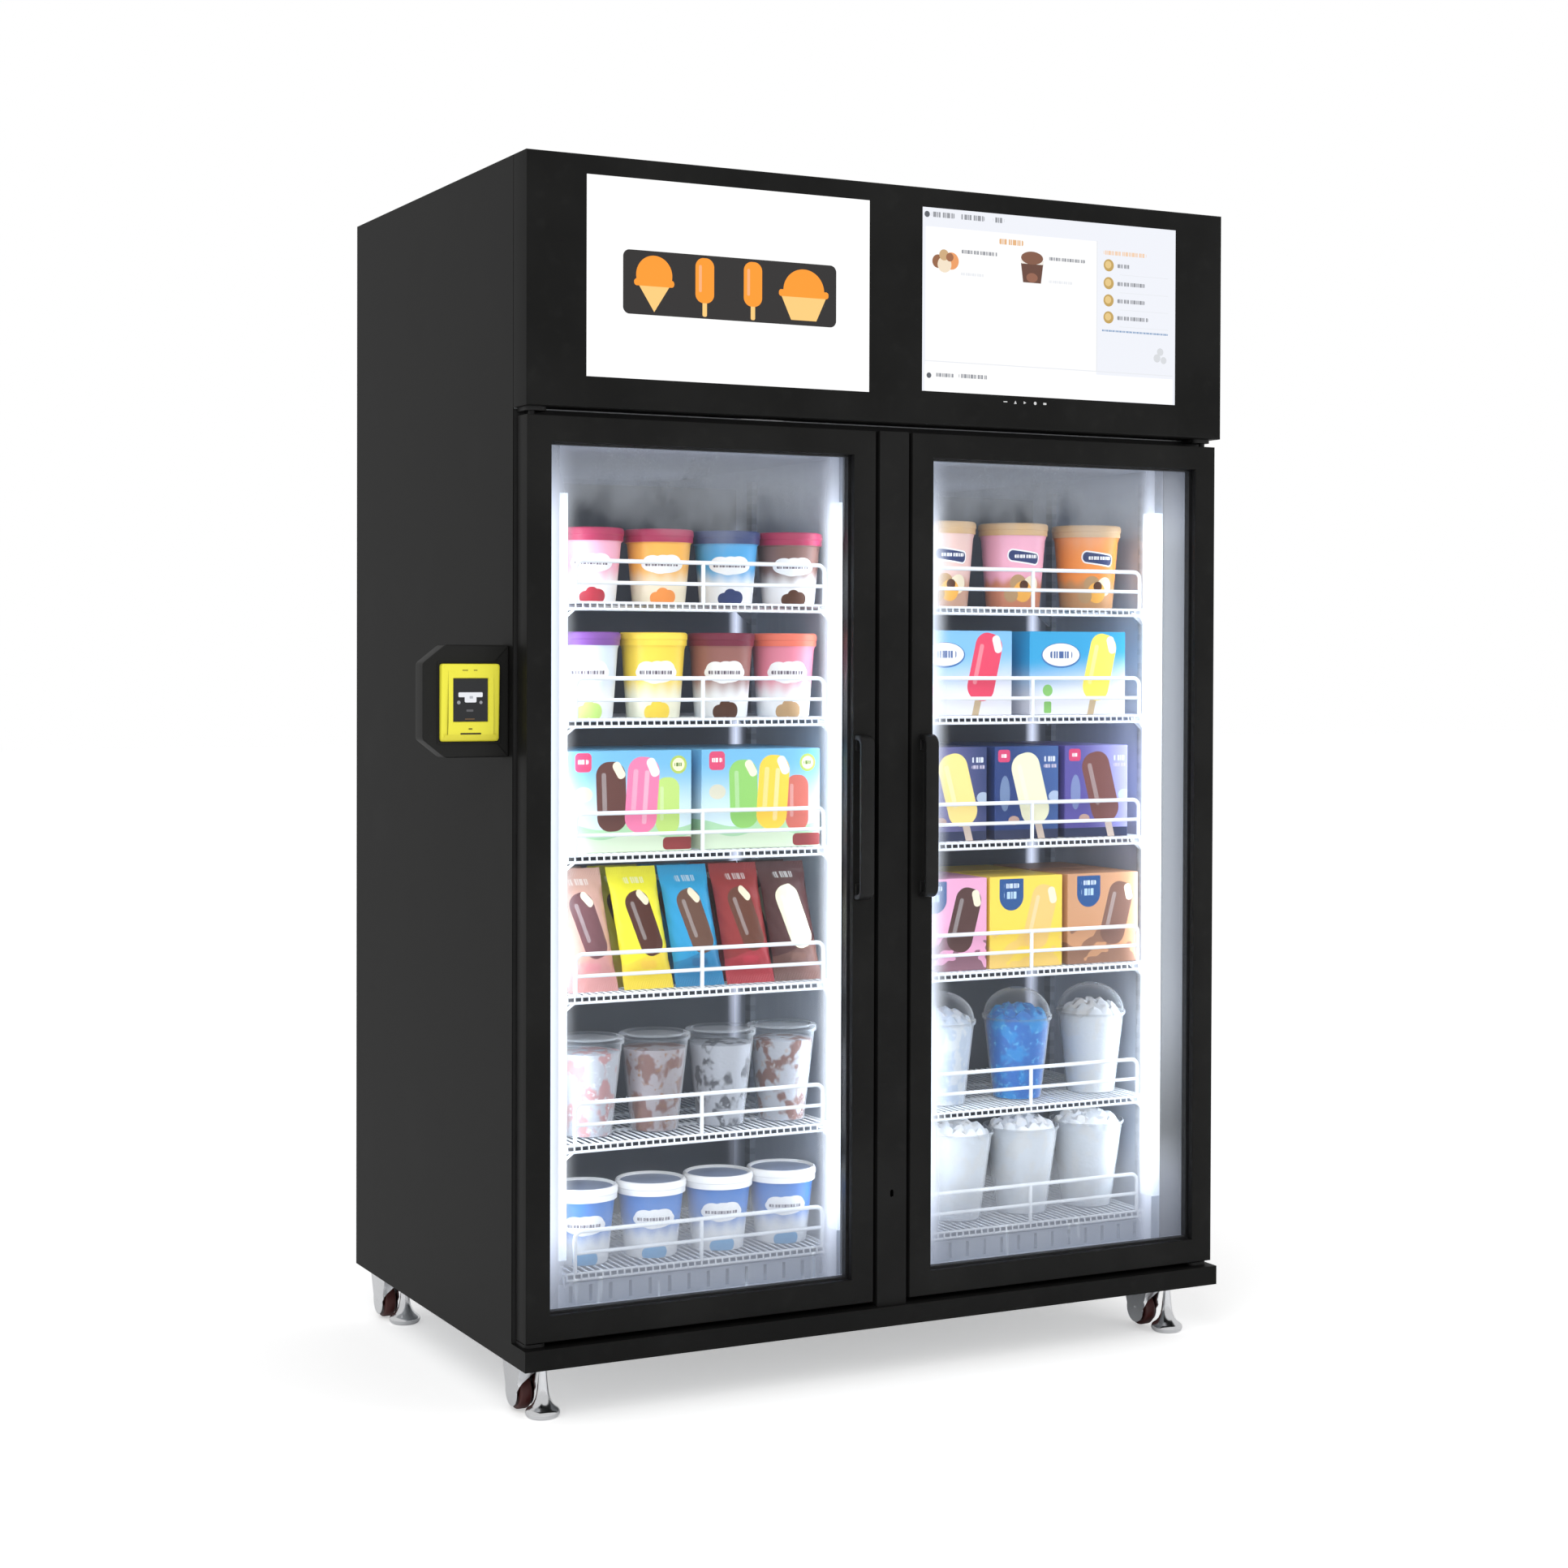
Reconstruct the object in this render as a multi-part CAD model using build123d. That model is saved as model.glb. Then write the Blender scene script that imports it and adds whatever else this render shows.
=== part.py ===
from build123d import *
import os
from math import cos, pi, sin

# A two-door vending freezer with a refrigeration unit and two screens in its header.
# Lengths are in millimetres. While it is modelled, x is 0 at the cabinet's middle plane,
# y is 0 at the header's front face and grows to the back, and z is 0 at the floor.

# Cabinet envelope
cabinet_width = 1285
cabinet_depth = 817
shell_height = 1850
ground_clearance = 90
header_height = 385
plinth_height = 32
door_zone_depth = 57
sheet = 1.5
face_sheet = 2

# Insulated body and its two compartments
side_wall = 77
mullion_width = 110
back_wall = 52
floor_height = 72
ceiling_wall = 52
liner_sheet = 1.5
frame_strip_depth = 5
tray_depth = 20
coil_space = 285

# Doors
door_bottom_gap = 8
door_top_gap = 13
door_side_inset = 5
door_setback = 10
door_thickness = 41
stile = 40
pillar_width = 54
pillar_gap = 7
hinge_inset = 14
hinge_depth = 30

# Shelves, with the middles of their front strips as shares of the inner height
shelf_height_shares = [0.815, 0.678, 0.5205, 0.357, 0.1835, 0.0343]
shelf_front = 75
shelf_side_gap = 2
shelf_rear_gap = 18

# Light bars, which the shelves stand between
led_width = 18
led_depth = 38

# Running and seating clearances
pin_clearance = 0.05
soft_clearance = 0.3
overrun = 10

# Places worked out from the sizes above
base = ground_clearance
top = base + shell_height
deck = top - header_height
half_width = cabinet_width / 2
inner_half = half_width - sheet
wall_x = half_width - side_wall
mullion_x = mullion_width / 2
bay_width = wall_x - mullion_x
bay_x = (wall_x + mullion_x) / 2
floor_z = base + floor_height
ceiling_z = deck - ceiling_wall
frame_back = door_zone_depth + frame_strip_depth
liner_front = frame_back + liner_sheet
liner_back = cabinet_depth - back_wall
duct_front = liner_back - coil_space
back_inner = cabinet_depth - sheet
shelf_width = bay_width - 2 * (led_width + shelf_side_gap)
shelf_depth = duct_front - shelf_rear_gap - shelf_front
door_outer_x = half_width - door_side_inset
door_inner_x = pillar_width / 2 + pillar_gap
door_x = (door_outer_x + door_inner_x) / 2
door_width = door_outer_x - door_inner_x
door_back = door_setback + door_thickness
hinge_x = door_outer_x - hinge_inset
door_z0 = base + plinth_height + door_bottom_gap
door_z1 = deck - door_top_gap

# How far the terminal and the handles stand out of the cabinet, and so where the middle of the whole is
terminal_reach = 139
handle_reach = 25
middle_x = -terminal_reach / 2
middle_y = (cabinet_depth + door_setback - handle_reach) / 2


def block(x0, x1, y0, y1, z0, z1):
    """A box between two corners."""
    size = Box(abs(x1 - x0), abs(y1 - y0), abs(z1 - z0))
    return Pos((x0 + x1) / 2, (y0 + y1) / 2, (z0 + z1) / 2) * size


def rod_x(x0, x1, y, z, radius):
    """A round bar along X."""
    return Pos((x0 + x1) / 2, y, z) * Rot(0, 90, 0) * Cylinder(radius, abs(x1 - x0))


def rod_y(x, y0, y1, z, radius):
    """A round bar along Y."""
    return Pos(x, (y0 + y1) / 2, z) * Rot(90, 0, 0) * Cylinder(radius, abs(y1 - y0))


def rod_z(x, y, z0, z1, radius):
    """A round bar along Z."""
    return Pos(x, y, (z0 + z1) / 2) * Cylinder(radius, abs(z1 - z0))


def across(shape):
    """The same piece on the other side of the cabinet's middle plane."""
    return mirror(shape, about=Plane.YZ)


def slab_x(points, x0, x1):
    """An outline in (y, z), drawn out from x0 to x1."""
    face = make_face(Polyline([(0, y, z) for y, z in points], close=True))
    return Pos(x0, 0, 0) * extrude(face, amount=x1 - x0, dir=(1, 0, 0))


def slab_y(points, y0, y1):
    """An outline in (x, z), drawn out from y0 to y1."""
    face = make_face(Polyline([(x, 0, z) for x, z in points], close=True))
    return Pos(0, y0, 0) * extrude(face, amount=y1 - y0, dir=(0, 1, 0))


def ring_y(x0, x1, z0, z1, width, y0, y1):
    """A rectangular ring of one width, lying across Y."""
    outer = block(x0, x1, y0, y1, z0, z1)
    inset = width if x1 > x0 else -width
    return outer - block(x0 + inset, x1 - inset, y0 - overrun, y1 + overrun, z0 + width, z1 - width)


def save(node, *pieces):
    """Writes one node's solids, moved so that the middle of the whole stands at the origin."""
    solids = [solid for piece in pieces for solid in piece.solids()]
    moved = [Pos(-middle_x, -middle_y, 0) * solid for solid in solids]
    export_step(moved[0] if len(moved) == 1 else Compound(moved), f"parts/{node}.step")


# Cabinet shell

panel_return = 18
vent_slot_width = 8
vent_pitch = 24
vent_columns = 4
vent_margin = 120
vent_side_margin = 60
vent_slot_length = (inner_half - vent_margin - vent_side_margin) / vent_columns - vent_pitch
line_hole_radius = 14
line_hole_from_liner = 65
line_hole_y = liner_back - line_hole_from_liner


def side_panel():
    """The right side skin, full height behind the doors and the header, with a return at its front."""
    skin = block(inner_half, half_width, door_zone_depth, cabinet_depth, base, top)
    x0, z0 = inner_half - panel_return, base + tray_depth
    return skin + block(x0, inner_half, frame_back, frame_back + sheet, z0, deck - sheet)


def top_panel():
    """The header's lid, with rows of vents over the condenser."""
    lid = block(-inner_half, inner_half, door_zone_depth, cabinet_depth, top - sheet, top)
    rows = int((cabinet_depth / 2 - vent_margin) / vent_pitch)
    for column in range(vent_columns):
        x = vent_margin + column * (vent_slot_length + vent_pitch)
        for row in range(rows):
            y = back_inner - vent_margin - row * vent_pitch
            lid -= block(x, x + vent_slot_length, y, y + vent_slot_width, top - overrun, top + overrun)
    return lid


def back_panel():
    """The body's back skin, folded forward over the insulation as the machine deck."""
    skin = block(-inner_half, inner_half, back_inner, cabinet_depth, base + tray_depth, deck)
    plate = block(-inner_half, inner_half, door_zone_depth, cabinet_depth, deck - sheet, deck)
    plate -= rod_z(-bay_x, line_hole_y, deck - overrun, deck + overrun, line_hole_radius)
    plate -= rod_z(bay_x, line_hole_y, deck - overrun, deck + overrun, line_hole_radius)
    return skin + plate


def base_tray(feet, stem_hole):
    """The folded tray under the body, open upwards, with a hole over each foot."""
    tray = block(-inner_half, inner_half, door_zone_depth, cabinet_depth, base, base + tray_depth)
    tray -= block(
        -inner_half + face_sheet, inner_half - face_sheet, door_zone_depth + face_sheet,
        cabinet_depth - face_sheet, base + face_sheet, base + tray_depth + overrun,
    )
    for x, y in feet:
        tray -= rod_z(x, y, base - overrun, base + overrun, stem_hole)
    return tray


def plinth():
    """The kick plate under the doors: a channel open to the floor, with closed ends."""
    outer = block(-half_width, half_width, 0, door_zone_depth, base, base + plinth_height)
    return outer - block(
        -half_width + face_sheet, half_width - face_sheet, face_sheet, door_zone_depth - face_sheet,
        base - overrun, base + plinth_height - face_sheet,
    )


def rear_grille(inlet):
    """The lift-off cover behind the machine space, with louvre slots and the inlet's cut-out."""
    cover = block(-inner_half, inner_half, back_inner, cabinet_depth, deck, top - sheet)
    rows = int((header_height - 2 * vent_pitch) / vent_pitch)
    for column in range(vent_columns):
        x = vent_margin + column * (vent_slot_length + vent_pitch)
        for row in range(rows):
            z = deck + vent_pitch + row * vent_pitch
            y0, y1 = back_inner - overrun, cabinet_depth + overrun
            cover -= block(x, x + vent_slot_length, y0, y1, z, z + vent_slot_width)
    return cover - inlet


# Insulated body


def foam_walls():
    """The insulation of every wall, as the blocks that meet round the two compartments."""
    y0, y1 = liner_front, back_inner
    z0, z1 = base + tray_depth, deck - sheet
    inner, outer = mullion_x - liner_sheet, wall_x + liner_sheet
    low, high = floor_z - liner_sheet, ceiling_z + liner_sheet
    blocks = [block(-inner, inner, y0, y1, z0, z1)]
    for side in (-1, 1):
        hole = rod_z(side * bay_x, line_hole_y, ceiling_z - overrun, deck + overrun, line_hole_radius)
        blocks += [
            block(side * outer, side * inner_half, y0, y1, z0, z1),
            block(side * inner, side * outer, y0, y1, z0, low),
            block(side * inner, side * outer, y0, y1, high, z1) - hole,
            block(side * inner, side * outer, liner_back + liner_sheet, y1, low, high),
        ]
    return blocks


liner_flange = 12


def liner():
    """The right compartment's inner tub, open at the front, with a flange behind the face frame."""
    skin, flange, y0 = liner_sheet, liner_flange, frame_back
    x0, x1, z0, z1 = mullion_x, wall_x, floor_z, ceiling_z
    tub = block(x0 - skin, x1 + skin, y0, liner_back + skin, z0 - skin, z1 + skin)
    tub += block(x0 - flange, x1 + flange, y0, liner_front, z0 - flange, z1 + flange)
    tub -= block(mullion_x, wall_x, frame_back - overrun, liner_back, floor_z, ceiling_z)
    return tub - rod_z(bay_x, line_hole_y, ceiling_z - overrun, ceiling_z + overrun, line_hole_radius)


def front_frame():
    """The strips that the door gaskets close on: three uprights, two heads and two sills."""
    y0, y1 = door_zone_depth, frame_back
    z0, z1 = base + tray_depth, deck - sheet
    strips = [block(-mullion_x, mullion_x, y0, y1, z0, z1)]
    for side in (-1, 1):
        strips += [
            block(side * wall_x, side * inner_half, y0, y1, z0, z1),
            block(side * mullion_x, side * wall_x, y0, y1, z0, floor_z),
            block(side * mullion_x, side * wall_x, y0, y1, ceiling_z, z1),
        ]
    return strips


slot_width = 6.6
slot_height = 12
slot_above_base = 214


def centre_pillar():
    """The channel between the doors, open to the back, with a small oblong slot low down."""
    half = pillar_width / 2
    post = block(-half, half, door_setback, door_zone_depth, base + plinth_height, door_z1)
    post -= block(
        -half + face_sheet, half - face_sheet, door_setback + face_sheet, door_zone_depth + overrun,
        base + plinth_height + face_sheet, door_z1 - face_sheet,
    )
    z = base + slot_above_base
    slot = Pos(0, door_setback, z) * Rot(90, 0, 0) * extrude(
        SlotOverall(slot_height, slot_width, rotation=90), amount=overrun, both=True
    )
    return post - slot


magnet_width = 9
magnet_length = 160
magnet_depth = 3.5
armature_depth = 2.2
magnet_below_door_top = 112


def lock_magnet():
    """The right door's holding magnet on the middle strip, beside the pillar."""
    x0 = door_inner_x + face_sheet
    y0, z1 = door_zone_depth - magnet_depth, door_z1 - magnet_below_door_top
    return block(x0, x0 + magnet_width, y0, door_zone_depth, z1 - magnet_length, z1)


def armature_plate():
    """The steel plate on the right door's back that the magnet holds."""
    x0 = door_inner_x + face_sheet
    z1 = door_z1 - magnet_below_door_top
    return block(x0, x0 + magnet_width, door_back, door_back + armature_depth, z1 - magnet_length, z1)


# Air path inside the compartments

duct_sheet = 1.5
outlet_gap = 30
return_y = 88
return_fold = 80
return_top = 106
return_slots = 14
return_slot_width = 6


def duct_panel():
    """The grey sheet at the back of the right compartment; the cold air leaves over its upper edge."""
    return block(mullion_x, wall_x, duct_front, duct_front + duct_sheet, floor_z, ceiling_z - outlet_gap)


def return_grille():
    """The low slotted panel under the right bay's lowest shelf, bent back along the floor."""
    z1 = base + return_top
    panel = block(mullion_x, wall_x, return_y, return_y + face_sheet, floor_z, z1)
    panel += block(mullion_x, wall_x, return_y, return_y + return_fold, floor_z, floor_z + face_sheet)
    pitch = bay_width / (return_slots + 1)
    for slot in range(return_slots):
        x = mullion_x + pitch * (slot + 1)
        panel -= block(
            x - return_slot_width / 2, x + return_slot_width / 2, return_y - overrun,
            return_y + face_sheet, floor_z + 2 * face_sheet, z1 - 2 * face_sheet,
        )
    return panel


coil_fins = 12
coil_depth = 90
coil_height = 300
coil_below_ceiling = 293
coil_from_liner = 125
fin_thickness = 2.5


def finned_coil(x0, x1, y0, depth, z0, height):
    """A coil: a tube bank between two end plates, with upright fins standing along it."""
    y1, t = y0 + depth, fin_thickness
    spine = block(x0, x1, y0 + depth / 3, y1 - depth / 3, z0 + t, z0 + height - t)
    pitch = (x1 - x0 - t) / coil_fins
    for fin in range(coil_fins + 1):
        x = x0 + fin * pitch
        spine += block(x, x + t, y0, y1, z0, z0 + height)
    return spine


def evaporator_coil():
    """The right bay's coil, fixed between the liner's walls behind the duct panel."""
    y0, z1 = liner_back - coil_from_liner, ceiling_z - coil_below_ceiling
    return finned_coil(mullion_x, wall_x, y0, coil_depth, z1 - coil_height, coil_height)


fan_radius = 75
fan_depth = 22
fan_below_ceiling = 123
fan_behind_duct = 40
fan_plate_edge = 20
fan_hub_radius = 22
fan_shaft_radius = 3
motor_radius = 27
motor_depth = 34
fan_gap = 4
blade_count = 5
blade_pitch_angle = 28
blade_thickness = 2.5


def fan_frame(x0, x1, y, z, height, radius):
    """A plate with the fan's ring, and the motor on a strap behind it with its shaft forward."""
    strap_y = y + fan_depth + motor_depth + 3 * fan_gap
    plate = block(x0, x1, y, y + face_sheet, z - height / 2, z + height / 2)
    plate -= rod_y((x0 + x1) / 2, y - overrun, y + overrun, z, radius + fan_gap)
    for side in (x0, x1):
        inner = side + (face_sheet if side == x0 else -face_sheet)
        plate += block(side, inner, y, strap_y + face_sheet, z - motor_radius, z + motor_radius)
    plate += block(x0, x1, strap_y, strap_y + face_sheet, z - motor_radius / 2, z + motor_radius / 2)
    plate += rod_y((x0 + x1) / 2, strap_y - motor_depth, strap_y, z, motor_radius)
    shaft_tip = strap_y - motor_depth - fan_gap - fan_depth / 2
    return plate + rod_y((x0 + x1) / 2, shaft_tip, strap_y - motor_depth, z, fan_shaft_radius)


def fan_rotor(x, y, z, radius):
    """A hub with pitched blades, bored from behind for its motor's shaft."""
    front = y + 2 * fan_gap
    hub = rod_y(x, front, front + fan_depth, z, fan_hub_radius)
    blades = hub
    for blade in range(blade_count):
        span = radius - fan_hub_radius / 2
        flat = Pos(0, 0, fan_hub_radius / 2 + span / 2) * Rot(0, 0, blade_pitch_angle) * Box(
            fan_hub_radius * 2, blade_thickness, span
        )
        blades += Pos(x, front + fan_depth / 2, z) * Rot(0, 360 * blade / blade_count, 0) * flat
    back = front + fan_depth + overrun
    disc = rod_y(x, front - overrun, back, z, radius)
    bore_end = front + fan_depth / 2 - fan_gap / 2
    return (blades & disc) - rod_y(x, bore_end, back, z, fan_shaft_radius + pin_clearance)


# Shelves

strip_height = 15
strip_thickness = 3
deck_thickness = 6
deck_bars = 15
deck_bar_width = 6
deck_rear_bar = 10
rail_size = 7
guard_inset = 14
guard_height = 66
guard_rail_drop = 37
guard_corner = 12
standard_width = 20
standard_depth = 10
standard_behind_led = 2
standard_place_shares = [0, 0.845]
clip_thickness = 4
clip_drop = 22
clip_ledge = 12


def shelf_top(share):
    """The upper face of the shelf whose front strip is at this share of the inner height."""
    return floor_z + (ceiling_z - floor_z) * share + strip_height / 2


def shelf(share):
    """A welded shelf of the right bay: bars front to back, a rear bar and a flat front strip."""
    x0, x1 = bay_x - shelf_width / 2, bay_x + shelf_width / 2
    y0, y1 = shelf_front, shelf_front + shelf_depth
    z1 = shelf_top(share)
    plate = block(x0, x1, y0, y1, z1 - deck_thickness, z1)
    plate += block(x0, x1, y0, y0 + strip_thickness, z1 - strip_height, z1)
    pitch = (shelf_width - deck_bar_width) / deck_bars
    for bar in range(deck_bars):
        x = x0 + deck_bar_width + bar * pitch
        plate -= block(
            x, x + pitch - deck_bar_width, y0 + strip_height, y1 - deck_rear_bar,
            z1 - deck_thickness - overrun, z1 + overrun,
        )
    return plate


def shelf_guard(share):
    """The wire guard standing on the shelf's front: three posts and two rails, rounded at the top."""
    reach = shelf_width / 2 - guard_inset
    x0, x1 = bay_x - reach, bay_x + reach
    z0 = shelf_top(share)
    z1 = z0 + guard_height
    whole = block(x0, x1, shelf_front, shelf_front + rail_size, z0, z1)
    whole = fillet(whole.edges().filter_by(Axis.Y).group_by(Axis.Z)[-1], guard_corner)
    middle = z1 - guard_rail_drop
    y0, y1 = shelf_front - overrun, shelf_front + rail_size + overrun
    half = rail_size / 2
    for side0, side1 in ((x0 + rail_size, bay_x - half), (bay_x + half, x1 - rail_size)):
        whole -= block(side0, side1, y0, y1, z0 - overrun, middle - rail_size / 2)
        whole -= block(side0, side1, y0, y1, middle + rail_size / 2, z1 - rail_size)
    return whole


def standard_y(share):
    """Where a shelf standard stands on the side wall, between the light bar and the shelf's rear edge."""
    first = frame_back + led_depth + standard_behind_led + standard_width / 2
    return first + (shelf_front + shelf_depth - first) * share


def shelf_standard(wall, inward, share):
    """A plain upright fixed to one wall; inward is the direction that it faces."""
    y = standard_y(share)
    z0, z1 = floor_z + clip_drop, ceiling_z - clip_drop
    face = wall + inward * standard_depth
    return block(wall, face, y - standard_width / 2, y + standard_width / 2, z0, z1)


def shelf_clip(wall, inward, share, height_share):
    """The gusset that stands out from an upright and carries one corner of a shelf."""
    y = standard_y(share)
    z = shelf_top(height_share) - deck_thickness
    edge = bay_x - inward * (shelf_width / 2 - clip_ledge)
    face = wall + inward * standard_depth
    outline = [(face, z), (edge, z), (edge, z - clip_thickness), (face, z - clip_drop)]
    return slab_y(outline, y - clip_thickness / 2, y + clip_thickness / 2)


# Lights

led_above_floor = 78
led_below_ceiling = 75
led_round = 7


def led_bar(wall, inward):
    """A light bar on a compartment's wall just behind the face frame, rounded towards the goods."""
    y0, y1 = frame_back, frame_back + led_depth
    z0, z1 = floor_z + led_above_floor, ceiling_z - led_below_ceiling
    bar = block(wall, wall + inward * led_width, y0, y1, z0, z1)
    inner = bar.edges().filter_by(Axis.Z).sort_by(Axis.X)
    return fillet(inner[-2:] if inward > 0 else inner[:2], led_round)


# Header

left_screen_from_side = 97.5
left_screen_from_middle = 53
left_screen_above_deck = 48
left_screen_below_top = 30
right_screen_from_side = 97
right_screen_from_middle = 45.5
right_screen_above_deck = 55
right_screen_below_top = 32
screen_clearance = 0.5
screen_recess = 1
screen_border = 12
screen_depth = 30


def screen(x0, x1, z0, z1):
    """A screen in its cut-out: glass just behind the fascia's face, and a wider case behind it."""
    c, b = screen_clearance, screen_border
    glass = block(x0 + c, x1 - c, screen_recess, face_sheet, z0 + c, z1 - c)
    case = block(x0 - b, x1 + b, face_sheet, face_sheet + screen_depth, z0 - b, z1 + b)
    case = fillet(case.edges().filter_by(Axis.Y), b / 2)
    return glass + case


def header_fascia():
    """The header's folded front: a face with two screen cut-outs, closed by its sides, lid and soffit."""
    face = block(-half_width, half_width, 0, door_zone_depth, deck, top)
    face -= block(
        -half_width + face_sheet, half_width - face_sheet, face_sheet, door_zone_depth + overrun,
        deck + face_sheet, top - face_sheet,
    )
    for x0, x1, z0, z1 in screen_places():
        face -= block(x0, x1, -overrun, face_sheet + overrun / 2, z0, z1)
    return face


def screen_places():
    """The cut-outs: left screen, then right screen."""
    left = (left_screen_from_side - half_width, -left_screen_from_middle)
    right = (right_screen_from_middle, half_width - right_screen_from_side)
    return [
        (*left, deck + left_screen_above_deck, top - left_screen_below_top),
        (*right, deck + right_screen_above_deck, top - right_screen_below_top),
    ]


compressor_place_share = 0.28
compressor_x = -half_width * compressor_place_share
compressor_from_back = 237
compressor_y = cabinet_depth - compressor_from_back
pot_radius = 82
pot_height = 190
pot_dome = 30
pot_heel = 16
pot_foot = 12
pot_band = 6


def compressor():
    """A hermetic pot on a foot plate, with a welded waist band and a terminal cover."""
    x, y, r, z = compressor_x, compressor_y, pot_radius, deck + pot_foot
    pot = rod_z(x, y, z, z + pot_height, r)
    pot = chamfer(pot.edges().group_by(Axis.Z)[-1], pot_dome)
    pot = chamfer(pot.edges().group_by(Axis.Z)[0], pot_heel)
    waist = z + pot_height / 2
    pot += rod_z(x, y, waist, waist + pot_band, r + pot_band / 2)
    pot += block(x - r, x + r, y - r * 4 / 5, y + r * 4 / 5, deck, z)
    cover_x, cover_y = x - r - 2 * pot_foot, 2 * pot_foot
    return pot + block(cover_x, x - r + pot_foot, y - cover_y, y + cover_y, z + pot_heel, waist)


condenser_from_side = 122
condenser_width = 400
condenser_x1 = half_width - condenser_from_side
condenser_x0 = condenser_x1 - condenser_width
condenser_from_back = 297
condenser_y = cabinet_depth - condenser_from_back
condenser_depth = 70
condenser_height = 300
condenser_fan_edge = 30
condenser_fan_radius = condenser_height / 2 - condenser_fan_edge


def condenser_coil():
    """The finned coil that stands on the machine deck."""
    return finned_coil(condenser_x0, condenser_x1, condenser_y, condenser_depth, deck, condenser_height)


def condenser_shroud():
    """The fan's frame, standing on the deck right behind the condenser."""
    y, z = condenser_y + condenser_depth, deck + condenser_height / 2
    return fan_frame(condenser_x0, condenser_x1, y, z, condenser_height, condenser_fan_radius)


control_from_side = 62
control_x0 = control_from_side - half_width
control_width = 230
control_from_front = 300
control_y0 = control_from_front
control_depth = 260
control_height = 110
control_fins = 8
control_fin = 12


def control_box():
    """The controller and power supply in one sheet case, with cooling fins on its lid."""
    x1 = control_x0 + control_width
    y1 = control_y0 + control_depth
    case = block(control_x0, x1, control_y0, y1, deck, deck + control_height)
    case = fillet(case.edges().filter_by(Axis.Z), screen_border / 2)
    pitch = control_width / (control_fins + 1)
    for fin in range(control_fins):
        x = control_x0 + pitch * (fin + 1)
        case += block(
            x - face_sheet, x + face_sheet, control_y0 + vent_pitch, y1 - vent_pitch,
            deck + control_height, deck + control_height + control_fin,
        )
    return case


inlet_from_side = 82
inlet_x = inlet_from_side - half_width
inlet_above_deck = 40
inlet_width = 48
inlet_height = 28
inlet_depth = 30
inlet_wall = 3
inlet_pins = 3


def inlet_body():
    """The outer form of the mains inlet, flush with the rear cover."""
    y0, z0 = cabinet_depth - inlet_depth, deck + inlet_above_deck
    return block(inlet_x, inlet_x + inlet_width, y0, cabinet_depth, z0, z0 + inlet_height)


def power_inlet():
    """The inlet socket: a shell with three flat contacts in its pocket, held by a rear flange."""
    w, z = inlet_wall, deck + inlet_above_deck
    x0, x1, z1 = inlet_x, inlet_x + inlet_width, z + inlet_height
    y0, y1 = cabinet_depth - inlet_depth, cabinet_depth
    body = inlet_body() - block(x0 + w, x1 - w, y0 + w, y1 + overrun, z + w, z1 - w)
    body += ring_y(x0 - w, x1 + w, z - w, z1 + w, w, back_inner - w, back_inner)
    for pin in range(inlet_pins):
        x = x0 + inlet_width * (pin + 1) / (inlet_pins + 1)
        body += block(x - w / 3, x + w / 3, y0, y1 - w, z + inlet_height / 3, z1 - inlet_height / 3)
    return body


line_radius = 5
line_bend = 30
discharge_share = 0.3
suction_shares = [0.44, 0.62]


def pipe(points, bend):
    """A copper line along straight runs joined by equal bends."""
    path = FilletPolyline(*points, radius=bend)
    start = Plane(origin=points[0], z_dir=path % 0)
    return sweep(start * Circle(line_radius), path=path)


def refrigerant_lines():
    """The discharge line to the condenser, and each compartment's line from its coil to the pot."""
    x, y, z = compressor_x, compressor_y, deck + pot_foot
    front, low = y - pot_radius, z + pot_height * discharge_share
    turn_x, turn_y = condenser_x0 - 2 * line_bend, condenser_y + condenser_depth / 2
    lines = [pipe([
        (x, front, low), (x, front - 2 * line_bend, low), (turn_x, front - 2 * line_bend, low),
        (turn_x, turn_y, low), (condenser_x0, turn_y, low),
    ], line_bend / 2)]
    coil_top = ceiling_z - coil_below_ceiling
    for side, share in zip((-1, 1), suction_shares):
        high = z + pot_height * share
        lines.append(pipe([
            (side * bay_x, line_hole_y, coil_top), (side * bay_x, line_hole_y, high),
            (x, line_hole_y, high), (x, y + pot_radius, high),
        ], line_bend))
    return lines


# Payment terminal on the left side

terminal_front = 70
terminal_depth = 34
terminal_bottom = 931
terminal_height = 172
terminal_chamfer_across = 36
terminal_chamfer_up = 28
terminal_edge = 4
reader_width = 94
reader_height = 118
reader_from_side = 19
reader_above = 25
reader_reach = 11
reader_seat = 12
reader_frame_side = 18
reader_frame_top = 21
reader_screen_height = 68
reader_screen_sink = 3
card_slot_width = 34
card_slot_height = 3
card_slot_above = 15


def reader_box(grow, y0, y1):
    """The reader's outline, grown by a clearance, between two depths."""
    x1 = -half_width - reader_from_side
    z0 = base + terminal_bottom + reader_above
    return block(x1 - reader_width - grow, x1 + grow, y0, y1, z0 - grow, z0 + reader_height + grow)


def terminal_housing():
    """The black moulding on the side panel: corners cut off on the free side, a pocket for the reader."""
    x0, x1 = -half_width - terminal_reach, -half_width
    z0 = base + terminal_bottom
    z1 = z0 + terminal_height
    a, u = terminal_chamfer_across, terminal_chamfer_up
    outline = [(x1, z0), (x0 + a, z0), (x0, z0 + u), (x0, z1 - u), (x0 + a, z1), (x1, z1)]
    body = slab_y(outline, terminal_front, terminal_front + terminal_depth)
    front = body.faces().sort_by(Axis.Y)[0].edges()
    free = [edge for edge in front if edge.center().X < x1 - screen_clearance]
    body = fillet(free, terminal_edge)
    return body - reader_box(screen_clearance, terminal_front - overrun, terminal_front + reader_seat)


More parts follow.
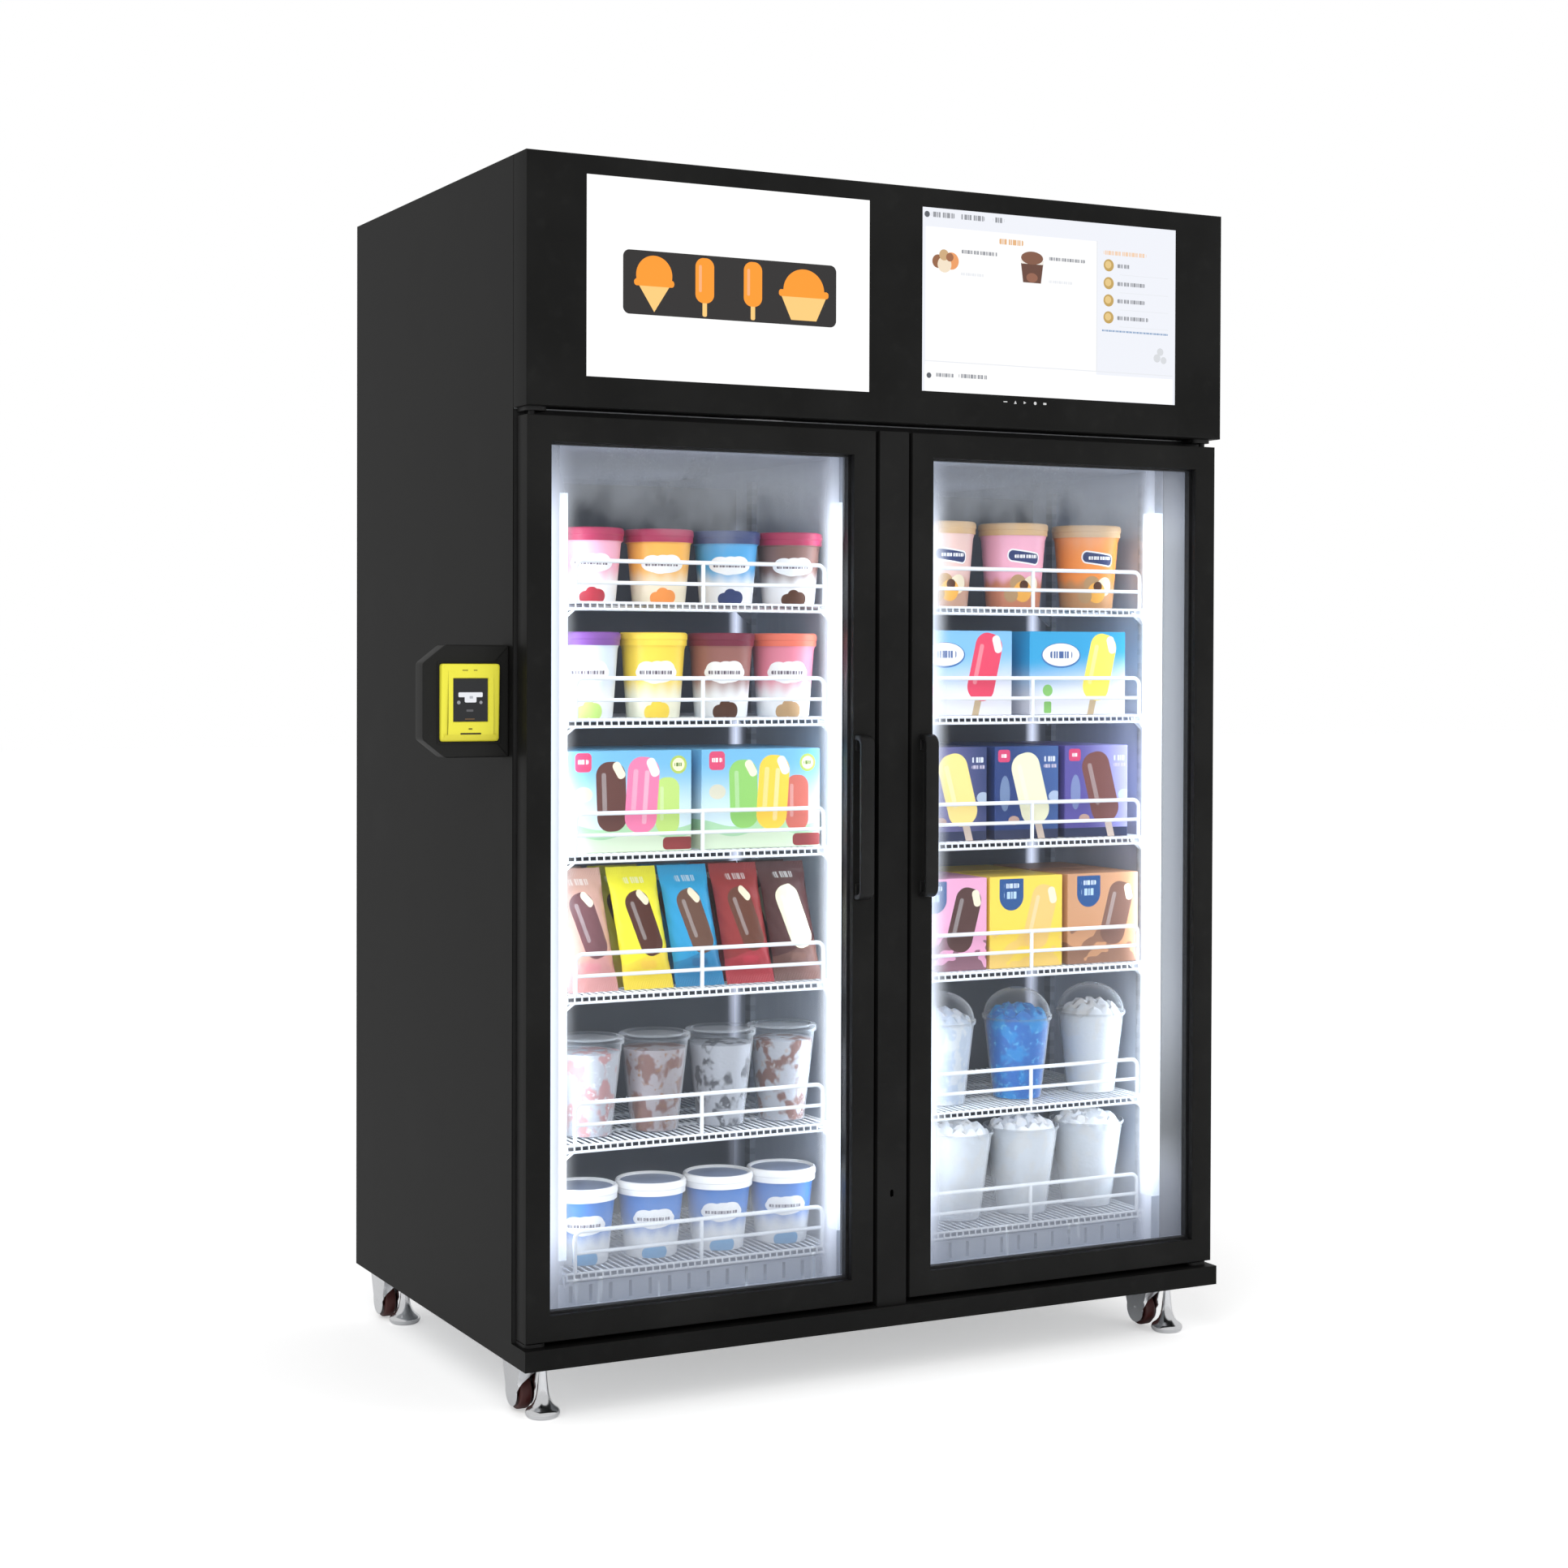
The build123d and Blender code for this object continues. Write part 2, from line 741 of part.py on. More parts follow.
def terminal_screen_box(grow):
    """The reader's screen: its outline, grown by a clearance."""
    x1 = -half_width - reader_from_side - reader_frame_side
    x0 = -half_width - reader_from_side - reader_width + reader_frame_side
    z1 = base + terminal_bottom + reader_above + reader_height - reader_frame_top
    y0, z0 = terminal_front - reader_reach + reader_screen_sink, z1 - reader_screen_height
    return block(x0 - grow, x1 + grow, y0, y0 + reader_screen_sink, z0 - grow, z1 + grow)


def terminal_reader():
    """The yellow reader: rounded block, a sunk screen, a sloped chin and a slot for the card."""
    y0 = terminal_front - reader_reach
    body = reader_box(0, y0, terminal_front + reader_seat)
    body = fillet(body.edges().filter_by(Axis.Y), terminal_edge)
    z0 = base + terminal_bottom + reader_above
    chin = card_slot_above
    x1 = -half_width - reader_from_side + overrun
    x0 = x1 - reader_width - 2 * overrun
    sloped = y0 + reader_reach / 2
    low, out = z0 - overrun, y0 - overrun
    wedge = [(sloped, low), (sloped, z0), (y0, z0 + chin), (out, z0 + chin), (out, low)]
    body -= slab_x(wedge, x0, x1) + terminal_pocket()
    middle = -half_width - reader_from_side - reader_width / 2
    z = z0 + card_slot_above
    return body - block(
        middle - card_slot_width / 2, middle + card_slot_width / 2, y0 - overrun, y0 + reader_reach / 2,
        z - card_slot_height / 2, z + card_slot_height / 2,
    )


def terminal_pocket():
    """The sunk well of the reader, from its face to the back of the screen's glass."""
    x1 = -half_width - reader_from_side - reader_frame_side
    x0 = -half_width - reader_from_side - reader_width + reader_frame_side
    z1 = base + terminal_bottom + reader_above + reader_height - reader_frame_top
    y0 = terminal_front - reader_reach
    return block(
        x0 - pin_clearance, x1 + pin_clearance, y0 - overrun, y0 + 2 * reader_screen_sink,
        z1 - reader_screen_height - pin_clearance, z1 + pin_clearance,
    )


# Doors, drawn for the right side

glass_recess = 12
pane = 4
pane_gap = 12
glass_grip = 9
spacer_show = 3
gasket_inset = 12
gasket_width = 9
pin_radius = 5
pin_depth = 20
top_plate = 6
bottom_plate = 5
plate_length = 46
plate_edge = 12
pane_front = door_setback + glass_recess
pane_back = pane_front + 2 * pane + pane_gap


def door_frame():
    """The welded ring of four rails, with a groove that holds the glass unit, bored for the hinge pins."""
    ring = ring_y(door_inner_x, door_outer_x, door_z0, door_z1, stile, door_setback, door_back)
    grip = stile - glass_grip
    ring -= block(
        door_inner_x + grip, door_outer_x - grip, pane_front, pane_back, door_z0 + grip, door_z1 - grip,
    )
    for z0, z1 in ((door_z0 - overrun, door_z0 + pin_depth), (door_z1 - pin_depth, door_z1 + overrun)):
        ring -= rod_z(hinge_x, hinge_depth, z0, z1, pin_radius + pin_clearance)
    return ring


def door_panes():
    """The two panes of the sealed glass unit."""
    grip = stile - glass_grip
    x0, x1, z0, z1 = door_inner_x + grip, door_outer_x - grip, door_z0 + grip, door_z1 - grip
    front = block(x0, x1, pane_front, pane_front + pane, z0, z1)
    return [front, block(x0, x1, pane_back - pane, pane_back, z0, z1)]


def glass_spacer():
    """The black spacer between the panes, showing as a border round the clear glass."""
    grip = stile - glass_grip
    return ring_y(
        door_inner_x + grip, door_outer_x - grip, door_z0 + grip, door_z1 - grip,
        glass_grip + spacer_show, pane_front + pane, pane_back - pane,
    )


def door_gasket():
    """The magnetic gasket round the door's back, just clear of the face frame when shut."""
    return ring_y(
        door_inner_x + gasket_inset, door_outer_x - gasket_inset, door_z0 + gasket_inset,
        door_z1 - gasket_inset, gasket_width, door_back, door_zone_depth - soft_clearance,
    )


handle_bottom = 695
handle_length = 266
handle_width = 24
handle_from_edge = 14
handle_bar = 10
handle_foot = 22
handle_round = 8
handle_edge = 2.5


def door_handle():
    """A bow pull: a flat bar standing off the stile on two feet, with rounded ends."""
    x0 = door_inner_x + handle_from_edge
    x1 = x0 + handle_width
    z0 = base + handle_bottom
    z1 = z0 + handle_length
    y0, y1 = door_setback - handle_reach, door_setback
    bow = block(x0, x1, y0, y1, z0, z1)
    bow = fillet(bow.edges().filter_by(Axis.X).group_by(Axis.Y)[0], handle_round)
    low, high = z0 + handle_foot, z1 - handle_foot
    bow -= block(x0 - overrun, x1 + overrun, y0 + handle_bar, y1 + overrun, low, high)
    return chamfer(bow.faces().sort_by(Axis.Y)[0].edges(), handle_edge)


def hinge_pins():
    """The door's two pins, seated in its frame and turning in the hinge plates."""
    foot = base + plinth_height + soft_clearance
    low = rod_z(hinge_x, hinge_depth, foot, door_z0 + pin_depth, pin_radius)
    return [low, rod_z(hinge_x, hinge_depth, door_z1 - pin_depth, deck - soft_clearance, pin_radius)]


def hinge_plate(z0, z1):
    """A plate screwed to the cabinet over or under the door's corner, with the pin's hole."""
    x0, x1 = hinge_x - plate_length / 2, hinge_x + plate_edge
    plate = block(x0, x1, hinge_depth - plate_edge, door_zone_depth, z0, z1)
    plate = fillet(plate.edges().filter_by(Axis.Z).group_by(Axis.Y)[0], plate_edge - overrun / 5)
    return plate - rod_z(hinge_x, hinge_depth, z0 - overrun, z1 + overrun, pin_radius + pin_clearance)


def hinge_plates():
    """The right door's plates: on the plinth, and under the header."""
    foot = base + plinth_height
    return [hinge_plate(foot, foot + bottom_plate), hinge_plate(deck - top_plate, deck)]


# Levelling casters, all four alike

foot_from_side = 56
foot_from_front = 68
foot_from_back = 102
foot_radius = 27
foot_rim = 5
foot_neck = 30
foot_neck_radius = 7
foot_waist_share = 0.3
stem_radius = 5
stem_top = 98
boss_radius = 9
boss_depth = 12
wheel_offset_x = 18
wheel_offset_y = 50
wheel_radius = 29
wheel_width = 20
wheel_lift = 3
wheel_edge = 3
axle_radius = 4
cheek = 2.5
cheek_gap = 1
bracket_plate = 3
bracket_front = 16
bracket_back = 92
cheek_round = 24
cheek_flat_share = 0.5


def foot_places():
    """Where the four feet stand: front left, front right, back left, back right."""
    x = half_width - foot_from_side
    ys = (foot_from_front, cabinet_depth - foot_from_back)
    return [(side * x, y) for y in ys for side in (-1, 1)]


def levelling_foot(x, y):
    """A bell-shaped foot turned in one piece with its stem."""
    r, n, rim, neck = foot_radius, foot_neck_radius, foot_rim, foot_neck
    waist = (n + (r - n) * foot_waist_share, rim + (neck - rim) * foot_waist_share)
    outline = [
        (0, 0), (r - rim / 2, 0), (r, rim / 2), (r, rim), waist, (n, neck),
        (stem_radius, neck + n), (stem_radius, stem_top), (0, stem_top),
    ]
    profile = make_face(Polyline([(a, 0, b) for a, b in outline], close=True))
    return Pos(x, y, 0) * revolve(profile, Axis.Z)


def caster_bracket(x, y):
    """The bracket under the tray: top plate, stem boss, two tapering cheeks and the riveted axle."""
    axle_y, axle_z, wheel_x = y + wheel_offset_y, wheel_radius + wheel_lift, x - wheel_offset_x
    seat, side_reach = base - bracket_plate, wheel_width / 2 + cheek_gap + cheek
    x0, x1 = wheel_x - side_reach - bracket_plate, x + boss_radius + bracket_plate
    plate = block(x0, x1, y - bracket_front, y + bracket_back, seat, base)
    plate += rod_z(x, y, base - boss_depth, seat, boss_radius)
    r, half = cheek_round, cheek_round * cheek_flat_share
    outline = [
        (y + boss_depth, seat), (axle_y - r, axle_z), (axle_y - half, axle_z - r),
        (axle_y + half, axle_z - r), (axle_y + r, axle_z), (y + bracket_back, seat),
    ]
    for near in (wheel_x - side_reach, wheel_x + side_reach - cheek):
        plate += slab_x(outline, near, near + cheek)
    head = side_reach + face_sheet
    plate += rod_x(wheel_x - head, wheel_x + head, axle_y, axle_z, axle_radius)
    return plate - rod_z(x, y, base - 2 * boss_depth, base + overrun, stem_radius + pin_clearance)


def caster_wheel(x, y):
    """A solid wheel with chamfered tread edges, bored for the axle."""
    wheel_x = x - wheel_offset_x
    y0, z0 = y + wheel_offset_y, wheel_radius + wheel_lift
    disc = rod_x(wheel_x - wheel_width / 2, wheel_x + wheel_width / 2, y0, z0, wheel_radius)
    disc = chamfer(disc.edges().filter_by(GeomType.CIRCLE), wheel_edge)
    return disc - rod_x(wheel_x - wheel_width, wheel_x + wheel_width, y0, z0, axle_radius + pin_clearance)


# Writing the nodes


def build_cabinet():
    feet = foot_places()
    save("side_panels", side_panel(), across(side_panel()))
    save("top_panel", top_panel())
    save("back_panel", back_panel())
    save("base_tray", base_tray(feet, stem_radius + face_sheet))
    save("plinth", plinth())
    save("rear_grille", rear_grille(inlet_body()))
    save("foam_insulation", *foam_walls())
    save("liners", liner(), across(liner()))
    save("front_frame", *front_frame())
    save("centre_pillar", centre_pillar())
    save("lock_magnets", lock_magnet(), across(lock_magnet()))
    save("air_duct_panels", duct_panel(), across(duct_panel()))
    save("return_grilles", return_grille(), across(return_grille()))
    plates = hinge_plates()
    save("hinge_plates", *plates, *[across(plate) for plate in plates])
    save("caster_brackets", *[caster_bracket(x, y) for x, y in feet])


def build_cooling():
    fan_y, fan_z = duct_front + fan_behind_duct, ceiling_z - fan_below_ceiling
    save("evaporator_coils", evaporator_coil(), across(evaporator_coil()))
    frame = fan_frame(mullion_x, wall_x, fan_y, fan_z, 2 * (fan_radius + fan_plate_edge), fan_radius)
    save("evaporator_fan_decks", frame, across(frame))
    save("evaporator_fan_right", fan_rotor(bay_x, fan_y, fan_z, fan_radius))
    save("evaporator_fan_left", fan_rotor(-bay_x, fan_y, fan_z, fan_radius))
    save("compressor", compressor())
    save("condenser_coil", condenser_coil())
    save("condenser_shroud", condenser_shroud())
    fan_x, fan_y = (condenser_x0 + condenser_x1) / 2, condenser_y + condenser_depth
    save("condenser_fan", fan_rotor(fan_x, fan_y, deck + condenser_height / 2, condenser_fan_radius))
    save("refrigerant_lines", *refrigerant_lines())


def build_header():
    left, right = screen_places()
    save("header_fascia", header_fascia())
    save("left_display", screen(*left))
    save("right_touchscreen", screen(*right))
    save("control_box", control_box())
    save("power_inlet", power_inlet())


def build_terminal():
    save("terminal_housing", terminal_housing())
    save("terminal_reader", terminal_reader())
    save("terminal_screen", terminal_screen_box(0))


def build_bays():
    walls = ((mullion_x, 1), (wall_x, -1))
    decks = [shelf(share) for share in shelf_height_shares]
    guards = [shelf_guard(share) for share in shelf_height_shares]
    corners = [(wall, way, share) for wall, way in walls for share in standard_place_shares]
    standards = [shelf_standard(*corner) for corner in corners]
    clips = [shelf_clip(*corner, share) for share in shelf_height_shares for corner in corners]
    bars = [led_bar(wall, way) for wall, way in walls]
    save("shelves_right", *decks)
    save("shelves_left", *[across(piece) for piece in decks])
    both = {"shelf_guards": guards, "shelf_standards": standards, "shelf_clips": clips, "led_bars": bars}
    for name, pieces in both.items():
        save(name, *pieces, *[across(piece) for piece in pieces])


def build_doors():
    parts = {
        "door_frame": [door_frame()], "door_panes": door_panes(), "glass_spacer": [glass_spacer()],
        "door_gasket": [door_gasket()], "door_handle": [door_handle()],
        "armature_plate": [armature_plate()], "hinge_pins": hinge_pins(),
    }
    for name, pieces in parts.items():
        save("right_" + name, *pieces)
        save("left_" + name, *[across(piece) for piece in pieces])


def build_casters():
    names = ("front_left", "front_right", "back_left", "back_right")
    for name, (x, y) in zip(names, foot_places()):
        save("foot_" + name, levelling_foot(x, y))
        save("wheel_" + name, caster_wheel(x, y))


os.makedirs("parts", exist_ok=True)
build_cabinet()
build_cooling()
build_header()
build_terminal()
build_bays()
build_doors()
build_casters()
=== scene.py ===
from math import radians

import bmesh
import bpy
import numpy as np
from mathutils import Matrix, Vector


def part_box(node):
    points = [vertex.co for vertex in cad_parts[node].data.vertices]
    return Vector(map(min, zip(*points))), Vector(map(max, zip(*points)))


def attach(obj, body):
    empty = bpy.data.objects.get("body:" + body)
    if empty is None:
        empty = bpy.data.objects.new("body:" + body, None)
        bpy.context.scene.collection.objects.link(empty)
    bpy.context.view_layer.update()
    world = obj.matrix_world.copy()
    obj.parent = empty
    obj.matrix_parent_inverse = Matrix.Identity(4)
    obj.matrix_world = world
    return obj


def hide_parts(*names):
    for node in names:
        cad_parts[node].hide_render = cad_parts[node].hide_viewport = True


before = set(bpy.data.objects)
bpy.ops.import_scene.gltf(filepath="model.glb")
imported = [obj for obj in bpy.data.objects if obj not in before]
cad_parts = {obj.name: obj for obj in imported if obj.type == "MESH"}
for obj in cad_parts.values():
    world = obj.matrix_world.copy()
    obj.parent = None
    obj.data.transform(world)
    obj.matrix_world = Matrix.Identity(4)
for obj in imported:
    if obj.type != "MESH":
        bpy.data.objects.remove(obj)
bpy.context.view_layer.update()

# Camera.
# It stands in front of the freezer and to its left, at about chest height, and looks very nearly level. The
# lens is long, and shifted down a little so that upright edges stay upright.
camera = bpy.data.objects.new("camera", bpy.data.cameras.new("camera"))
camera.data.lens = 60.452
camera.data.sensor_width = 36
camera.data.shift_y = -0.0563
camera.location = (-2.0437, -4.1099, 1.1706)
camera.rotation_euler = [radians(angle) for angle in (89.232, -0.1786, -27.2177)]
bpy.context.collection.objects.link(camera)
bpy.context.scene.camera = camera
bpy.context.scene.view_settings.view_transform = "Standard"


# Floor and studio light.
# A pale studio floor under a soft sky of light. The camera, and what is seen through glass, find plain white
# beyond it, while the sky that lights the freezer and shines in its metal is a little lower.
class Link:
    """The output of a shader node. Arithmetic on it adds the Math node that works the result out."""

    def __init__(self, finish, socket):
        self.finish, self.socket = finish, socket

    def also(self, name):
        return Link(self.finish, self.socket.node.outputs[name])

    def maths(self, operation, *others):
        return self.finish.maths(operation, self, *others)

    def __add__(self, other):
        return self.maths("ADD", other)

    def __sub__(self, other):
        return self.maths("SUBTRACT", other)

    def __rsub__(self, other):
        return self.finish.maths("SUBTRACT", other, self)

    def __mul__(self, other):
        return self.maths("MULTIPLY", other)

    def __truediv__(self, other):
        return self.maths("DIVIDE", other)

    def __pow__(self, other):
        return self.maths("POWER", other)

    def __lt__(self, other):
        return self.maths("LESS_THAN", other)

    def __gt__(self, other):
        return self.maths("GREATER_THAN", other)

    def __abs__(self):
        return self.maths("ABSOLUTE")

    __radd__, __rmul__ = __add__, __mul__


class Finish:
    """A material or world, built node by node: settings are set first, then sockets' values or links."""

    def __init__(self, owner):
        owner.use_nodes = True
        self.owner, self.tree = owner, owner.node_tree
        self.tree.nodes.clear()

    def node(self, kind, settings=None, sockets=None, out=0):
        made = self.tree.nodes.new("ShaderNode" + kind)
        for key, value in (settings or {}).items():
            setattr(made, key, value)
        for key, value in (sockets or {}).items():
            socket = made.inputs[key]
            if isinstance(value, Link):
                self.tree.links.new(value.socket, socket)
            elif socket.type == "RGBA":
                socket.default_value = (*value[:3], 1)
            else:
                socket.default_value = value
        return Link(self, made.outputs[out] if made.outputs else None)

    def maths(self, operation, *values):
        return self.node("Math", {"operation": operation}, dict(enumerate(values)))

    def mix(self, first, second, amount):
        return self.node("Mix", {"data_type": "RGBA"}, {0: amount, 6: first, 7: second}, out=2)

    def place(self):
        return self.node("TexCoord", out="Object")

    def axes(self, vector=None):
        x = self.node("SeparateXYZ", None, {0: vector or self.place()})
        return x, x.also("Y"), x.also("Z")

    def noise(self, scale, detail=2, vector=None, stretch=None):
        vector = vector or self.place()
        if stretch:
            vector = self.node("Mapping", None, {"Vector": vector, "Scale": stretch})
        return self.node("TexNoise", None, {"Vector": vector, "Scale": scale, "Detail": detail})

    def ramp(self, value, low, high, start=0, end=1):
        sockets = {0: value, 1: low, 2: high, 3: start, 4: end}
        return self.node("MapRange", {"clamp": True, "interpolation_type": "SMOOTHSTEP"}, sockets)

    def coat(self, height=None, depth=0.0002, strength=0.3, **sockets):
        names = {key.replace("_", " "): value for key, value in sockets.items()}
        if height is not None:
            bump = {"Height": height, "Distance": depth, "Strength": strength}
            names["Normal"] = self.node("Bump", None, bump)
        shader = self.node("BsdfPrincipled", None, names)
        self.node("OutputMaterial", None, {"Surface": shader})
        return self.owner


def new_finish(name):
    """A new, empty material."""
    return Finish(bpy.data.materials.new(name))


def sheet_of_quads(grids):
    """The points and quads of some grids: each cell between four neighbouring points becomes a quad."""
    points, quads, start = [], [], 0
    for grid in grids:
        rows, columns = grid.shape[:2]
        index = np.arange(rows * columns).reshape(rows, columns) + start
        cells = np.stack([index[:-1, :-1], index[:-1, 1:], index[1:, 1:], index[1:, :-1]], -1)
        quads.append(cells.reshape(-1, 4))
        points.append(grid.reshape(-1, grid.shape[2]))
        start += rows * columns
    return np.concatenate(points), np.concatenate(quads)


def lay(name, body, material, grids, tints=(), sharp=35, replaces=()):
    """Makes one piece out of grids of points, welded where they meet and turned to face outwards.

    A grid is an array of rows, columns and x, y, z, with u and v after them where a pattern follows the
    surface. Each of tints is a name and one colour for each grid, kept as a colour attribute.
    """
    grids = [np.asarray(grid, float) for grid in grids]
    points, quads = sheet_of_quads(grids)
    mesh = bpy.data.meshes.new(name)
    mesh.from_pydata(points[:, :3], [], quads)
    corners = quads.reshape(-1)
    if points.shape[1] == 5:
        mesh.uv_layers.new(name="map").data.foreach_set("uv", points[corners, 3:].astype("f").reshape(-1))
    cells = [(grid.shape[0] - 1) * (grid.shape[1] - 1) * 4 for grid in grids]
    for tint, colours in tints:
        values = np.repeat([(*colour, 1) for colour in colours], cells, axis=0)
        layer = mesh.color_attributes.new(tint, "FLOAT_COLOR", "CORNER")
        layer.data.foreach_set("color", values.astype("f").reshape(-1))
    work = bmesh.new()
    work.from_mesh(mesh)
    bmesh.ops.remove_doubles(work, verts=work.verts, dist=1e-6)
    bmesh.ops.recalc_face_normals(work, faces=work.faces)
    work.to_mesh(mesh)
    work.free()
    mesh.shade_smooth()
    mesh.set_sharp_from_angle(angle=radians(sharp))
    mesh.materials.append(material)
    piece = bpy.data.objects.new(name, mesh)
    bpy.context.collection.objects.link(piece)
    if body:
        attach(piece, body)
    if replaces:
        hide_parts(*replaces)
    return piece


def lamp(name, place, turn, size, power, colour=(1, 1, 1)):
    """A rectangular soft light that the camera doesn't see."""
    light = bpy.data.lights.new(name, "AREA")
    light.shape, light.size, light.size_y = "RECTANGLE", *size
    light.energy, light.color = power, colour
    lit = bpy.data.objects.new(name, light)
    lit.location = place
    lit.rotation_euler = [radians(angle) for angle in turn]
    lit.visible_camera = lit.visible_glossy = False
    bpy.context.collection.objects.link(lit)


sky = Finish(bpy.data.worlds.new("studio"))
seen = sky.node("LightPath", out="Is Camera Ray")
seen = seen.maths("MAXIMUM", seen.also("Is Transmission Ray"))
level = sky.node("Mix", {"data_type": "FLOAT"}, {0: seen, 2: 0.62, 3: 1.0})
sky.node("OutputWorld", None, {0: sky.node("Background", None, {0: (1, 1, 1), 1: level})})
bpy.context.scene.world = sky.owner

floor_finish = new_finish("studio floor")
speckle = floor_finish.noise(60, 4)
floor_finish.coat(
    Base_Color=floor_finish.mix((0.93, 0.93, 0.93), (0.97, 0.97, 0.97), speckle), Roughness=0.9,
    height=speckle, Specular_IOR_Level=0.1, Emission_Strength=1.0,
    Emission_Color=floor_finish.mix((0, 0, 0), (0.42, 0.42, 0.42),
                                    floor_finish.node("LightPath", out="Is Camera Ray")),
)
floor_half = 30
across, along = np.meshgrid(*[np.linspace(-floor_half, floor_half, 13)] * 2, indexing="ij")
floor = lay("studio_floor", None, floor_finish.owner, [np.stack([across, along, 0 * along], -1)])
lamp("key", (-3.2, -4.0, 4.2), (52, 0, -38), (3.0, 3.0), 110)
lamp("fill", (3.5, -4.5, 2.6), (68, 0, 38), (3.0, 3.0), 60)


# Cabinet skins.
# Folded steel sheet, powder-coated satin black, pop-riveted at the back. The coat has a fine orange peel
# and takes a soft sheen from the room.
def dress(names, material):
    """Gives CAD nodes their material."""
    for name in names.split():
        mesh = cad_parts[name].data
        mesh.materials.clear()
        mesh.materials.append(material)


def powder_coat(name, colour, roughness, specular=0.2):
    """Powder coat on sheet steel: an orange peel of about a millimetre, and a cloudy change of sheen."""
    coat = new_finish(name)
    cloud, peel_height = coat.noise(5, 3), coat.noise(700)
    dust = coat.ramp(coat.noise(38, 5), 0.52, 0.8, 0, 0.22)
    shade = coat.mix(colour, [value * 1.4 + 0.001 for value in colour], coat.ramp(cloud, 0.35, 0.7))
    return coat.coat(
        Base_Color=coat.mix(shade, (0.05, 0.05, 0.048), dust * 0.3), Specular_IOR_Level=specular, IOR=1.35,
        Roughness=roughness + cloud * 0.1 + dust * 0.1, height=peel_height, depth=0.00012, strength=0.25,
    )


black_coat = powder_coat("black powder coat", (0.0075, 0.0075, 0.0072), 0.44)
dress("side_panels top_panel", black_coat)
dress("plinth", powder_coat("black plinth coat", (0.006, 0.006, 0.0058), 0.44))
dress("centre_pillar", powder_coat("black pillar coat", (0.009, 0.009, 0.0088), 0.42))

galvanised = new_finish("galvanised sheet")
flakes = galvanised.node(
    "TexVoronoi", {"feature": "F1"}, {"Vector": galvanised.place(), "Scale": 90}, out="Color",
)
flake = galvanised.node("RGBToBW", None, {0: flakes})
galvanised.coat(
    Base_Color=galvanised.mix((0.42, 0.44, 0.46), (0.62, 0.64, 0.66), flake), Metallic=0.9,
    Roughness=0.32 + flake * 0.2, height=galvanised.noise(200), depth=0.0001, strength=0.2,
)
dress("back_panel rear_grille base_tray", galvanised.owner)


# Header.
# A folded steel fascia with its sides, welded at the corners and ground, with a cut-out for each screen.
# It is a box of its own: on the side a narrow seam parts it from the cabinet's side skin.
def ring(x0, x1, z0, z1, profile):
    """A mitred frame: each profile point (inset from the outline, y) is carried round the rectangle."""
    inset, y = np.array(profile, float).T
    corners = np.array([(x0, z0, 1, 1), (x1, z0, -1, 1), (x1, z1, -1, -1), (x0, z1, 1, -1), (x0, z0, 1, 1)])
    x = corners[:, 0] + inset[:, None] * corners[:, 2]
    z = corners[:, 1] + inset[:, None] * corners[:, 3]
    return np.stack([x, np.repeat(y[:, None], 5, 1), z], -1)


def turn(centre, radius, start, end, steps=4):
    """Points of an arc between two angles in degrees, first coordinate along cosine, second along sine."""
    angle = np.radians(np.linspace(start, end, steps + 1))
    return [(centre[0] + radius * c, centre[1] + radius * s) for c, s in zip(np.cos(angle), np.sin(angle))]


def flat_y(xs, zs, y, holes=()):
    """Flat cells at one y between the lines xs and zs, as single grids, but for the cells named in holes."""
    cells = []
    for i in range(len(xs) - 1):
        for j in range(len(zs) - 1):
            if (i, j) not in holes:
                x, z = np.meshgrid(xs[i:i + 2], zs[j:j + 2], indexing="ij")
                cells.append(np.stack([x, 0 * x + y, z], -1))
    return cells


(hx0, hy0, hz0), (hx1, hy1, hz1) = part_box("header_fascia")
bend, seam = 0.0035, 0.0015
covered = 0.0115  # how much of a screen's edge the fascia hides
screens = []
for name in ("left_display", "right_touchscreen"):
    (x0, _, z0), (x1, _, z1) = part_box(name)
    screens.append((x0 + covered, x1 - covered, z0 + covered, z1 - covered))
(lx0, lx1, lz0, lz1), (rx0, rx1, rz0, rz1) = screens
xs = [hx0 + bend, lx0, lx1, rx0, rx1, hx1 - bend]
zs = sorted([hz0 + bend, lz0, lz1, rz0, rz1, hz1 - bend])
holes = {(column, j) for column, (_, _, low, high) in zip((1, 3), screens) for j in range(5)
         if low <= (zs[j] + zs[j + 1]) / 2 <= high}
fold = turn((bend, hy0 + bend), bend, 270, 180)
fold += [(0, hy1 - seam), (0.012, hy1 - seam), (0.012, hy1 - 0.02)]
fascia = flat_y(xs, zs, hy0, holes) + [ring(hx0, hx1, hz0, hz1, fold)]
for cut_out in screens:
    fascia.append(ring(*cut_out, [(0, hy0), (0.0003, hy0 + 0.0004), (0.0003, hy0 + 0.0022)]))
lay("header_fascia_skin", "cabinet", black_coat, fascia, replaces=["header_fascia"])


# Screens.
# Two wide panels set behind the fascia's cut-outs: the left one shows a still picture, the right one is
# touched to choose the goods. Their pictures are drawn here from plain shapes, with no words on them.
white = (0.86, 0.86, 0.86)


